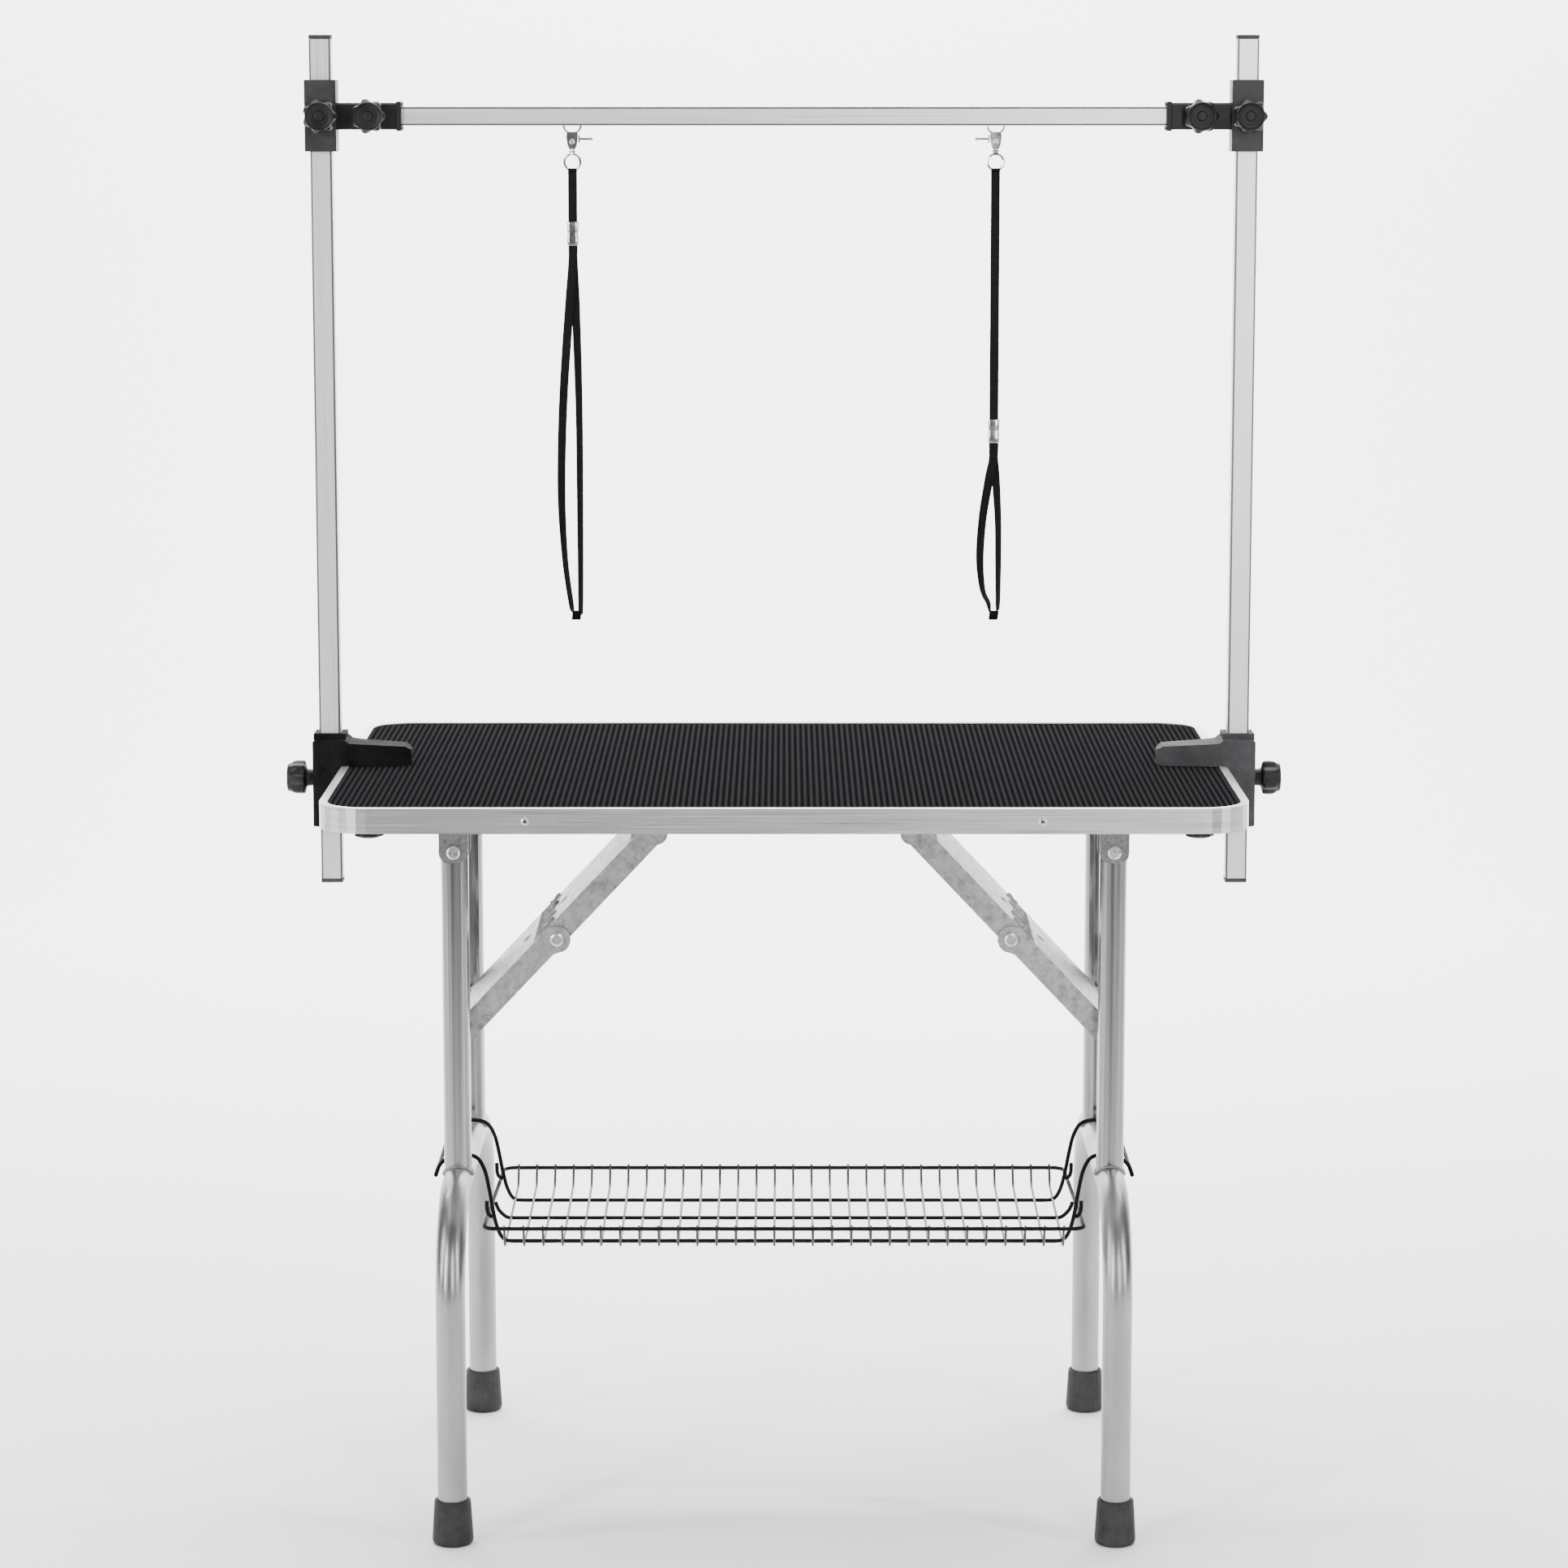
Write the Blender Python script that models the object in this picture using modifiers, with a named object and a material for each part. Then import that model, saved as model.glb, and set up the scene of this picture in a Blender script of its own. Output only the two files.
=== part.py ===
"""Folding grooming table with a two-post overhead bar, two hanging nooses and a wire storage tray.

Frame: metres, +Z up, +X to the right and +Y to the back, origin on the floor under the middle of the top.
Each moving group hangs on an empty that stands on its joint's axis.
"""

import math

import bmesh
import bpy
from mathutils import Matrix, Vector

GAP = 0.0003  # clearance between solids that touch on the real table
SIDES = {"left": -1, "right": 1}
ENDS = {"front": -1, "rear": 1}

# Table top
TOP_WIDTH = 0.914
TOP_DEPTH = 0.610
TOP_HEIGHT = 0.762
CORNER_RADIUS = 0.050
MAT_THICKNESS = 0.0025
BOARD_THICKNESS = 0.0192
TRIM_WALL = 0.0015
TRIM_LIP = 0.0012
TRIM_LIP_WIDTH = 0.008

# Legs: upright tubes on a wider inverted U
LEG_X = 0.335
UPPER_TUBE_Y = 0.109
UPPER_TUBE_RADIUS = 0.014
LOWER_LEG_Y = 0.236
LOWER_TUBE_RADIUS = 0.015
TUBE_WALL = 0.0015
U_BEND_RADIUS = 0.100
U_HEIGHT = 0.347
HINGE_HEIGHT = 0.690
FOOT_HEIGHT = 0.046
FOOT_FLOOR = 0.008
FOOT_TOP_RADIUS = 0.0186
FOOT_BOTTOM_RADIUS = 0.0209
PIN_RADIUS = 0.004
HOLE_RADIUS = 0.0043
PIN_HEAD_RADIUS = 0.007

# Folding braces: A is the pivot under the top, B the pivot on the leg
BRACE_TOP = Vector((0.130, 0.0, 0.702))
BRACE_FOOT = Vector((LEG_X, 0.0, 0.485))
BRACE_UPPER_SHARE = 0.501
LINK_WALL = 0.002
LINK_WEB = 0.015
LINK_EDGE = -0.008
LOWER_LINK_HALF_WIDTH = 0.090
UPPER_LINK_HALF_WIDTH = LOWER_LINK_HALF_WIDTH - LINK_WALL - 0.0008

# Overhead frame
POST_X = 0.470
POST_SIZE = 0.022
POST_BOTTOM = 0.639
POST_TOP = 1.509
POST_WALL = 0.0015
POST_CAP = 0.004
BAR_SIZE = 0.019
BAR_HEIGHT = 1.4275
BAR_HALF_LENGTH = 0.450
CORNER_SLEEVE = 0.032
CORNER_BOTTOM = 1.392
CORNER_TOP = 1.464
SOCKET_SIZE = 0.027
SOCKET_END = 0.388
BAR_KNOB_X = 0.421
KNOB_RADIUS = 0.0182
KNOB_HEIGHT = 0.022
CLAMP_KNOB_LENGTH = 0.0272
STUD_RADIUS = 0.003

# Table clamps
CLAMP_BOTTOM = 0.700
CLAMP_TOP = 0.790
CLAMP_HALF_WIDTH = 0.025
CLAMP_OUTSIDE = 0.4875
CLAMP_FINGER_TIP = 0.386
CLAMP_KNOB_HEIGHT = 0.748
CLAMP_SCREW_X = 0.432

# Tray
TRAY_HALF_LENGTH = 0.285
TRAY_RIM_HALF_LENGTH = 0.308
TRAY_RIM_Y = 0.133
TRAY_FLOOR_Y = 0.120
TRAY_FLOOR_Z = 0.279
TRAY_RIM_Z = 0.300
TRAY_SHEET = 0.002
TRAY_WIRE_RADIUS = 0.002
HOOK_REAR_Y = 0.067
HOOK_FRONT_Y = -0.090

# Nooses
NOOSE_X = 0.216
NOOSE_Y = 0.014
STAPLE_LOW = 1.4235
STAPLE_HIGH = 1.4330
STAPLE_RADIUS = 0.0015
JAW_RADIUS = 0.0087
JAW_HEIGHT = 1.4183
JAW_WIRE = 0.0013
EYE_HEIGHT = 1.3808
EYE_RADIUS = 0.0082
STRAP_WIDTH = 0.009
STRAP_THICKNESS = 0.0014
STRAP_SPLIT = 0.0018  # half the distance between the doubled strands
SLIDE_LENGTH = 0.024
SLIDE_HEIGHTS = {"left": 1.3085, "right": 1.1065}

TABLE = bpy.data.collections.new("grooming_table")
CUTTERS = bpy.data.collections.new("cutters")


# ---------------------------------------------------------------- materials


def material(name, colour, roughness, metallic=0.0):
    made = bpy.data.materials.new(name)
    made.use_nodes = True
    shader = made.node_tree.nodes["Principled BSDF"]
    shader.inputs["Base Color"].default_value = (*colour, 1.0)
    shader.inputs["Roughness"].default_value = roughness
    shader.inputs["Metallic"].default_value = metallic
    made.diffuse_color = (*colour, 1.0)
    return made


MATERIALS = {
    "board": material("board", (0.52, 0.51, 0.49), 0.7),
    "mat_rubber": material("mat_rubber", (0.035, 0.035, 0.038), 0.75),
    "trim_aluminium": material("trim_aluminium", (0.74, 0.75, 0.76), 0.35, 1.0),
    "leg_steel": material("leg_steel", (0.55, 0.55, 0.54), 0.38, 1.0),
    "zinc_steel": material("zinc_steel", (0.62, 0.62, 0.60), 0.45, 1.0),
    "post_aluminium": material("post_aluminium", (0.83, 0.84, 0.85), 0.42, 1.0),
    "black_plastic": material("black_plastic", (0.03, 0.03, 0.032), 0.45),
    "foot_rubber": material("foot_rubber", (0.02, 0.02, 0.02), 0.8),
    "tray_wire": material("tray_wire", (0.05, 0.05, 0.055), 0.4),
    "chrome": material("chrome", (0.80, 0.80, 0.80), 0.12, 1.0),
    "strap_nylon": material("strap_nylon", (0.04, 0.04, 0.045), 0.85),
}


# ------------------------------------------------------------ shape helpers


def new_object(name, mesh):
    made = bpy.data.objects.new(name, mesh)
    TABLE.objects.link(made)
    return made


def from_bmesh(name, shape):
    bmesh.ops.recalc_face_normals(shape, faces=shape.faces)
    mesh = bpy.data.meshes.new(name)
    shape.to_mesh(mesh)
    shape.free()
    return new_object(name, mesh)


def box(name, low, high, bevel=0.0, segments=2):
    """A box between two corners, with its long edges rounded where bevel isn't 0."""
    low, high = Vector(low), Vector(high)
    size = high - low
    shape = bmesh.new()
    place = Matrix.Translation((low + high) / 2) @ Matrix.Diagonal((*size, 1.0))
    bmesh.ops.create_cube(shape, size=1.0, matrix=place)
    if bevel:
        longest = max(range(3), key=lambda axis: size[axis])
        half = size[longest] / 2
        edges = [e for e in shape.edges if abs((e.verts[0].co - e.verts[1].co)[longest]) > half]
        bmesh.ops.bevel(shape, geom=edges, offset=bevel, segments=segments, profile=0.5, affect="EDGES")
    return from_bmesh(name, shape)


def cylinder(name, start, end, radius, segments=24):
    start, end = Vector(start), Vector(end)
    along = end - start
    shape = bmesh.new()
    place = Matrix.Translation((start + end) / 2) @ along.to_track_quat("Z", "Y").to_matrix().to_4x4()
    bmesh.ops.create_cone(
        shape,
        cap_ends=True,
        segments=segments,
        radius1=radius,
        radius2=radius,
        depth=along.length,
        matrix=place,
    )
    return from_bmesh(name, shape)


def mesh_of_curve(name, curve_object):
    """The curve's solid as a mesh, with its caps welded to its sides; the curve is removed."""
    bpy.context.view_layer.update()
    graph = bpy.context.evaluated_depsgraph_get()
    mesh = bpy.data.meshes.new_from_object(curve_object.evaluated_get(graph))
    place = curve_object.matrix_world.copy()
    bpy.data.objects.remove(curve_object)
    shape = bmesh.new()
    shape.from_mesh(mesh)
    bpy.data.meshes.remove(mesh)
    bmesh.ops.remove_doubles(shape, verts=shape.verts, dist=1e-5)
    made = from_bmesh(name, shape)
    made.matrix_world = place
    return made


def outline(name, points, normal, low, high):
    """A flat outline swept between two heights along its normal. Points are (x, y), (x, z) or (y, z)."""
    curve = bpy.data.curves.new(name, "CURVE")
    curve.dimensions = "2D"
    curve.fill_mode = "BOTH"
    curve.extrude = (high - low) / 2
    spline = curve.splines.new("POLY")
    spline.points.add(len(points) - 1)
    for point, (u, v) in zip(spline.points, points):
        point.co = (u, v, 0.0, 1.0)
    spline.use_cyclic_u = True
    made = new_object(name, curve)
    middle = (low + high) / 2
    turned = {
        "z": Matrix.Identity(4),
        "y": Matrix(((1, 0, 0, 0), (0, 0, 1, 0), (0, 1, 0, 0), (0, 0, 0, 1))),
        "x": Matrix(((0, 0, 1, 0), (1, 0, 0, 0), (0, 1, 0, 0), (0, 0, 0, 1))),
    }[normal]
    solid = mesh_of_curve(name, made)
    solid.data.transform(turned @ Matrix.Translation((0, 0, middle)))
    solid.matrix_world = Matrix.Identity(4)
    shape = bmesh.new()
    shape.from_mesh(solid.data)
    bmesh.ops.recalc_face_normals(shape, faces=shape.faces)
    shape.to_mesh(solid.data)
    shape.free()
    return solid


def wire(name, points, radius, resolution=2, closed=False):
    """A round bar or tube along straight runs between points, with its ends capped unless it is closed."""
    curve = bpy.data.curves.new(name, "CURVE")
    curve.dimensions = "3D"
    curve.bevel_depth = radius
    curve.bevel_resolution = resolution
    curve.use_fill_caps = not closed
    spline = curve.splines.new("POLY")
    spline.points.add(len(points) - 1)
    spline.use_cyclic_u = closed
    for point, place in zip(spline.points, points):
        point.co = (*place, 1.0)
    return mesh_of_curve(name, new_object(name, curve))


def turned(name, profile, steps=24):
    """A solid of revolution about its own Z axis. The profile runs from the axis out, down and back."""
    mesh = bpy.data.meshes.new(name)
    mesh.from_pydata([(r, 0.0, z) for r, z in profile], [(i, i + 1) for i in range(len(profile) - 1)], [])
    made = new_object(name, mesh)
    screw = made.modifiers.new("Screw", "SCREW")
    screw.steps = steps
    screw.render_steps = steps
    screw.use_merge_vertices = True
    screw.merge_threshold = 1e-5
    screw.use_normal_calculate = True
    return made


def loft(name, rings):
    """A closed body through rings that hold the same number of points, capped at both ends."""
    shape = bmesh.new()
    layers = [[shape.verts.new(p) for p in ring] for ring in rings]
    count = len(rings[0])
    for lower, upper in zip(layers, layers[1:]):
        for i in range(count):
            j = (i + 1) % count
            shape.faces.new((lower[i], lower[j], upper[j], upper[i]))
    shape.faces.new(layers[0])
    shape.faces.new(layers[-1])
    return from_bmesh(name, shape)


def combine(target, tool, operation):
    """Cuts, joins or intersects target with tool; the tool stays as a hidden helper."""
    TABLE.objects.unlink(tool)
    CUTTERS.objects.link(tool)
    tool.hide_render = True
    tool.display_type = "WIRE"
    made = target.modifiers.new(tool.name, "BOOLEAN")
    made.operation = operation
    made.object = tool
    return target


def cut(target, *tools):
    for tool in tools:
        combine(target, tool, "DIFFERENCE")
    return target


def join(target, *tools):
    for tool in tools:
        combine(target, tool, "UNION")
    return target


def empty(name, place, parent=None):
    made = bpy.data.objects.new(name, None)
    TABLE.objects.link(made)
    made.location = place
    if parent:
        attach(made, parent)
    return made


def attach(child, parent):
    """Parents child without moving it."""
    bpy.context.view_layer.update()
    child.parent = parent
    child.matrix_parent_inverse = parent.matrix_world.inverted()


def finish(made, material_name, parent=None, smooth=30):
    made.data.materials.clear()
    made.data.materials.append(MATERIALS[material_name])
    made.data.shade_smooth()
    made.data.set_sharp_from_angle(angle=math.radians(smooth))
    if parent:
        attach(made, parent)
    return made


def arc(centre, radius, start, end, steps):
    """Points on a circle in a plane, from one angle to another in degrees."""
    turn = [math.radians(start + (end - start) * i / steps) for i in range(steps + 1)]
    return [(centre[0] + radius * math.cos(a), centre[1] + radius * math.sin(a)) for a in turn]


def rounded_rectangle(half_x, half_y, radius, steps=8):
    points = []
    for sx, sy, start in ((1, 1, 0), (-1, 1, 90), (-1, -1, 180), (1, -1, 270)):
        points += arc((sx * (half_x - radius), sy * (half_y - radius)), radius, start, start + 90, steps)
    return points


def square_tube(name, low, high, axis, wall):
    """A hollow square bar, open at both ends, with rounded long edges."""
    made = box(name, low, high, bevel=0.002)
    inner_low = [v + wall for v in low]
    inner_high = [v - wall for v in high]
    inner_low[axis] = low[axis] - 0.01
    inner_high[axis] = high[axis] + 0.01
    return cut(made, box(name + "_bore", inner_low, inner_high))


# ---------------------------------------------------------------- table top


def build_top():
    half_x, half_y = TOP_WIDTH / 2, TOP_DEPTH / 2
    inset = TRIM_WALL + GAP
    mat_bottom = TOP_HEIGHT - MAT_THICKNESS
    board_top = mat_bottom - GAP
    board_bottom = board_top - BOARD_THICKNESS
    core = rounded_rectangle(half_x - inset, half_y - inset, CORNER_RADIUS - inset)
    finish(outline("table_board", core, "z", board_bottom, board_top), "board")
    finish(outline("table_mat", core, "z", mat_bottom, TOP_HEIGHT), "mat_rubber")

    lip_low, lip_high = board_bottom - GAP, TOP_HEIGHT + GAP
    trim = outline(
        "edge_trim",
        rounded_rectangle(half_x, half_y, CORNER_RADIUS),
        "z",
        lip_low - TRIM_LIP,
        lip_high + TRIM_LIP,
    )
    cavity = rounded_rectangle(half_x - TRIM_WALL, half_y - TRIM_WALL, CORNER_RADIUS - TRIM_WALL)
    window = rounded_rectangle(
        half_x - TRIM_LIP_WIDTH, half_y - TRIM_LIP_WIDTH, CORNER_RADIUS - TRIM_LIP_WIDTH
    )
    cut(
        trim,
        outline("trim_cavity", cavity, "z", lip_low, lip_high),
        outline("trim_window", window, "z", lip_low - 0.01, lip_high + 0.01),
    )
    finish(trim, "trim_aluminium")
    return board_bottom


# --------------------------------------------------------------------- legs


def hinge_bracket(name, x, y, board_bottom):
    """A folded channel screwed under the board, with two ears that hold the hinge rod."""
    inner = UPPER_TUBE_RADIUS + 0.0009
    thick = 0.0025
    top = board_bottom - GAP
    half_width, corner, bottom = 0.015, 0.010, 0.679
    ear = [(-half_width, top - 0.001), (-half_width, bottom + corner)]
    ear += arc((-half_width + corner, bottom + corner), corner, 180, 270, 5)[1:]
    ear += arc((half_width - corner, bottom + corner), corner, 270, 360, 5)
    ear.append((half_width, top - 0.001))
    ear = [(x + u, v) for u, v in ear]
    made = box(name, (x - 0.032, y - inner - thick, top - thick), (x + 0.032, y + inner + thick, top))
    for number, offset in enumerate((-inner - thick, inner)):
        join(made, outline(f"{name}_ear_{number}", ear, "y", y + offset, y + offset + thick))
    reach = inner + thick + 0.005
    ends = (x, y - reach, HINGE_HEIGHT), (x, y + reach, HINGE_HEIGHT)
    hole = cylinder(f"{name}_hole", *ends, HOLE_RADIUS, 16)
    finish(cut(made, hole), "zinc_steel")


def pin_along_y(name, x, z, half_shank, head_length, head_radius=PIN_HEAD_RADIUS):
    """A riveted pin with a head at each end, lying along Y."""
    end = half_shank + head_length
    profile = [
        (0.0, end),
        (head_radius * 0.7, end),
        (head_radius, end - head_length * 0.4),
        (head_radius, half_shank),
        (PIN_RADIUS, half_shank),
        (PIN_RADIUS, -half_shank),
        (head_radius, -half_shank),
        (head_radius, -end + head_length * 0.4),
        (head_radius * 0.7, -end),
        (0.0, -end),
    ]
    made = turned(name, profile, steps=16)
    made.location = (x, 0.0, z)
    made.rotation_euler = (math.pi / 2, 0.0, 0.0)
    return made


def upper_tube(name, x, y, pivot):
    """An upright tube, coped at its foot over the U and bored for the hinge rod, with a brace stud."""
    inward = -math.copysign(1, y)
    stud_start = y + inward * (UPPER_TUBE_RADIUS - 0.002)
    stud_end = -inward * (LOWER_LINK_HALF_WIDTH + 0.0006)
    made = cylinder(name, (x, y, U_HEIGHT), (x, y, HINGE_HEIGHT + UPPER_TUBE_RADIUS), UPPER_TUBE_RADIUS, 24)
    stud = (x, stud_start, BRACE_FOOT.z), (x, stud_end, BRACE_FOOT.z)
    cope = (x, y - 0.05, U_HEIGHT), (x, y + 0.05, U_HEIGHT)
    join(made, cylinder(f"{name}_stud", *stud, 0.005, 12))
    cut(
        made,
        cylinder(f"{name}_bore", (x, y, 0.3), (x, y, 0.8), UPPER_TUBE_RADIUS - TUBE_WALL, 24),
        cylinder(f"{name}_cope", *cope, LOWER_TUBE_RADIUS + GAP, 32),
        cylinder(f"{name}_hole", (x, y - 0.03, HINGE_HEIGHT), (x, y + 0.03, HINGE_HEIGHT), HOLE_RADIUS, 16),
    )
    finish(made, "leg_steel", pivot)


def u_path(x, low):
    """The centre line of a lower frame, from its front foot over the crossbar to its rear foot."""
    flat = LOWER_LEG_Y - U_BEND_RADIUS
    centre_z = U_HEIGHT - U_BEND_RADIUS
    points = [(-LOWER_LEG_Y, low)] + arc((-flat, centre_z), U_BEND_RADIUS, 180, 90, 8)
    points += arc((flat, centre_z), U_BEND_RADIUS, 90, 0, 8) + [(LOWER_LEG_Y, low)]
    return [(x, y, z) for y, z in points]


def foot(name, x, y, pivot):
    bore = LOWER_TUBE_RADIUS + GAP
    profile = [
        (0.0, FOOT_FLOOR),
        (bore, FOOT_FLOOR),
        (bore, FOOT_HEIGHT - 0.001),
        (bore + 0.001, FOOT_HEIGHT),
        (FOOT_TOP_RADIUS - 0.001, FOOT_HEIGHT),
        (FOOT_TOP_RADIUS, FOOT_HEIGHT - 0.001),
        (FOOT_BOTTOM_RADIUS, 0.005),
        (FOOT_BOTTOM_RADIUS - 0.0012, 0.0012),
        (FOOT_BOTTOM_RADIUS - 0.004, 0.0),
        (0.0, 0.0),
    ]
    made = turned(name, profile)
    made.location = (x, y, 0.0)
    finish(made, "foot_rubber", pivot)


def build_leg(side, sign, board_bottom):
    x = sign * LEG_X
    pivot = empty(f"{side}_leg_pivot", (x, 0.0, HINGE_HEIGHT))
    half_rod = UPPER_TUBE_Y + UPPER_TUBE_RADIUS + 0.0038
    finish(pin_along_y(f"{side}_hinge_rod", x, HINGE_HEIGHT, half_rod, 0.004), "zinc_steel")
    for end, toward in ENDS.items():
        y = toward * UPPER_TUBE_Y
        hinge_bracket(f"{side}_{end}_hinge_bracket", x, y, board_bottom)
        upper_tube(f"{side}_{end}_upper_tube", x, y, pivot)
        foot(f"{side}_{end}_foot", x, toward * LOWER_LEG_Y, pivot)
    frame = wire(f"{side}_lower_frame", u_path(x, FOOT_FLOOR + GAP), LOWER_TUBE_RADIUS, 6)
    bore = wire(f"{side}_lower_frame_bore", u_path(x, -0.01), LOWER_TUBE_RADIUS - TUBE_WALL, 6)
    finish(cut(frame, bore), "leg_steel", pivot)


# ------------------------------------------------------------------- braces


def channel_link(name, half_width, length, side_outline, web_start, web_end):
    """A sheet-steel channel along +X from its first pivot: the web at +Z, the flanges below it."""
    made = outline(name, side_outline, "y", -half_width, half_width)
    inside = half_width - LINK_WALL
    far = length + 0.05
    cut(
        made,
        box(f"{name}_inside", (-0.05, -inside, -0.05), (far, inside, LINK_WEB - LINK_WALL)),
        box(f"{name}_start", (-0.05, -inside, -0.05), (web_start, inside, 0.05)),
        box(f"{name}_end", (web_end, -inside, -0.05), (far, inside, 0.05)),
    )
    for end, at in (("near", 0.0), ("far", length)):
        cut(made, cylinder(f"{name}_{end}_hole", (at, -0.12, 0.0), (at, 0.12, 0.0), HOLE_RADIUS, 16))
    return made


def place_link(made, pivot_point, along, sign):
    """Turns a link and its cutters from lying along +X to run from pivot_point along a direction."""
    direction = along.normalized()
    web_side = Vector((sign * abs(direction.z), 0.0, abs(direction.x)))
    across = web_side.cross(direction)
    turn = Matrix((direction, across, web_side)).transposed().to_4x4()
    for solid in [made] + [modifier.object for modifier in made.modifiers]:
        solid.matrix_world = Matrix.Translation(pivot_point) @ turn


def build_brace(side, sign, board_bottom):
    top = Vector((sign * BRACE_TOP.x, 0.0, BRACE_TOP.z))
    low = Vector((sign * BRACE_FOOT.x, 0.0, BRACE_FOOT.z))
    elbow = top.lerp(low, BRACE_UPPER_SHARE)
    upper_length, lower_length = (elbow - top).length, (low - elbow).length
    along = low - top
    top_pivot = empty(f"{side}_brace_top_pivot", top)
    elbow_pivot = empty(f"{side}_brace_elbow_pivot", elbow, top_pivot)

    nose = 0.0105
    upper_side = arc((0.0, 0.0), -LINK_EDGE, 270, 180, 5) + [(LINK_EDGE, LINK_WEB - 0.005)]
    upper_side += [(LINK_EDGE + 0.005, LINK_WEB), (upper_length - 0.006, LINK_WEB)]
    upper_side += arc((upper_length, 0.0), nose, 75, -50, 8) + [(upper_length - 0.004, LINK_EDGE)]
    name, web = f"{side}_brace_upper_link", (0.024, upper_length - 0.004)
    upper = channel_link(name, UPPER_LINK_HALF_WIDTH, upper_length, upper_side, *web)
    place_link(upper, top, along, sign)
    finish(upper, "zinc_steel", top_pivot)

    round_end = 0.014
    lower_side = arc((0.0, 0.0), round_end, 315, 115, 10) + [(0.0, LINK_WEB)]
    lower_side += [(lower_length + 0.003, LINK_WEB), (lower_length + 0.010, LINK_WEB - 0.007)]
    lower_side += arc((lower_length, 0.0), 0.010, 0, -53, 4) + [(0.014, LINK_EDGE)]
    name, web = f"{side}_brace_lower_link", (0.020, lower_length - 0.022)
    lower = channel_link(name, LOWER_LINK_HALF_WIDTH, lower_length, lower_side, *web)
    place_link(lower, elbow, along, sign)
    finish(lower, "zinc_steel", elbow_pivot)

    pin = pin_along_y(f"{side}_brace_elbow_pin", elbow.x, elbow.z, LOWER_LINK_HALF_WIDTH + 0.0004, 0.002)
    finish(pin, "zinc_steel", top_pivot)

    base_top = board_bottom - GAP
    ear_outside, thick, ear_radius = UPPER_LINK_HALF_WIDTH - LINK_WALL - 0.0007, 0.0025, 0.011
    bracket = box(
        f"{side}_brace_bracket",
        (top.x - 0.014, -ear_outside, base_top - thick),
        (top.x + 0.014, ear_outside, base_top),
    )
    ear = [(top.x - ear_radius, base_top - 0.001)] + arc((top.x, top.z), ear_radius, 180, 360, 10)
    ear.append((top.x + ear_radius, base_top - 0.001))
    for number, start in enumerate((-ear_outside, ear_outside - thick)):
        join(bracket, outline(f"{side}_brace_bracket_ear_{number}", ear, "y", start, start + thick))
    reach = UPPER_LINK_HALF_WIDTH + 0.0003
    pin_ends = (top.x, -reach, top.z), (top.x, reach, top.z)
    join(bracket, cylinder(f"{side}_brace_top_pin", *pin_ends, PIN_RADIUS, 16))
    finish(bracket, "zinc_steel")


# ------------------------------------------------- knobs and overhead frame


def star_ring(height, radius, lobe=0.0, lobes=7, samples=28):
    """A ring of points at one height, round or with lobes."""
    ring = []
    for i in range(samples):
        a = math.tau * i / samples
        r = radius * (1.0 + lobe * math.cos(lobes * a))
        ring.append((r * math.cos(a), r * math.sin(a), height))
    return ring


def star_knob(name, seat, outward, stud_length, parent, height=KNOB_HEIGHT):
    """A lobed knob with a dished face; its stud points the other way. Seat is where its collar starts."""
    rings = [
        star_ring(-stud_length, STUD_RADIUS),
        star_ring(0.0, STUD_RADIUS),
        star_ring(0.0, 0.0085),
        star_ring(height * 0.28, 0.0085),
        star_ring(height * 0.36, KNOB_RADIUS * 0.86, 0.09),
        star_ring(height * 0.55, KNOB_RADIUS * 0.92, 0.09),
        star_ring(height * 0.82, KNOB_RADIUS * 0.88, 0.07),
        star_ring(height, KNOB_RADIUS * 0.74, 0.01),
        star_ring(height * 0.84, KNOB_RADIUS * 0.45),
        star_ring(height * 0.80, KNOB_RADIUS * 0.15),
    ]
    made = loft(name, rings)
    turn = Vector(outward).to_track_quat("Z", "Y").to_matrix().to_4x4()
    made.matrix_world = Matrix.Translation(seat) @ turn
    return finish(made, "black_plastic", parent)


def build_post(side, sign, post_pivot):
    x = sign * POST_X
    half = POST_SIZE / 2
    low, high = POST_BOTTOM + POST_CAP + GAP, POST_TOP - POST_CAP - GAP
    post = square_tube(f"{side}_post", [x - half, -half, low], [x + half, half, high], 2, POST_WALL)
    finish(post, "post_aluminium", post_pivot)
    plug = half - POST_WALL - GAP
    for end, outer, inner, tip in (
        ("top", POST_TOP, POST_TOP - POST_CAP, high - 0.012),
        ("bottom", POST_BOTTOM, POST_BOTTOM + POST_CAP, low + 0.012),
    ):
        flange = sorted((outer, inner))
        stem = sorted((inner + (outer - inner) * 0.5, tip))
        cap = box(f"{side}_post_{end}_cap", (x - half, -half, flange[0]), (x + half, half, flange[1]))
        join(cap, box(f"{side}_post_{end}_plug", (x - plug, -plug, stem[0]), (x + plug, plug, stem[1])))
        finish(cap, "black_plastic", post_pivot)


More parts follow.
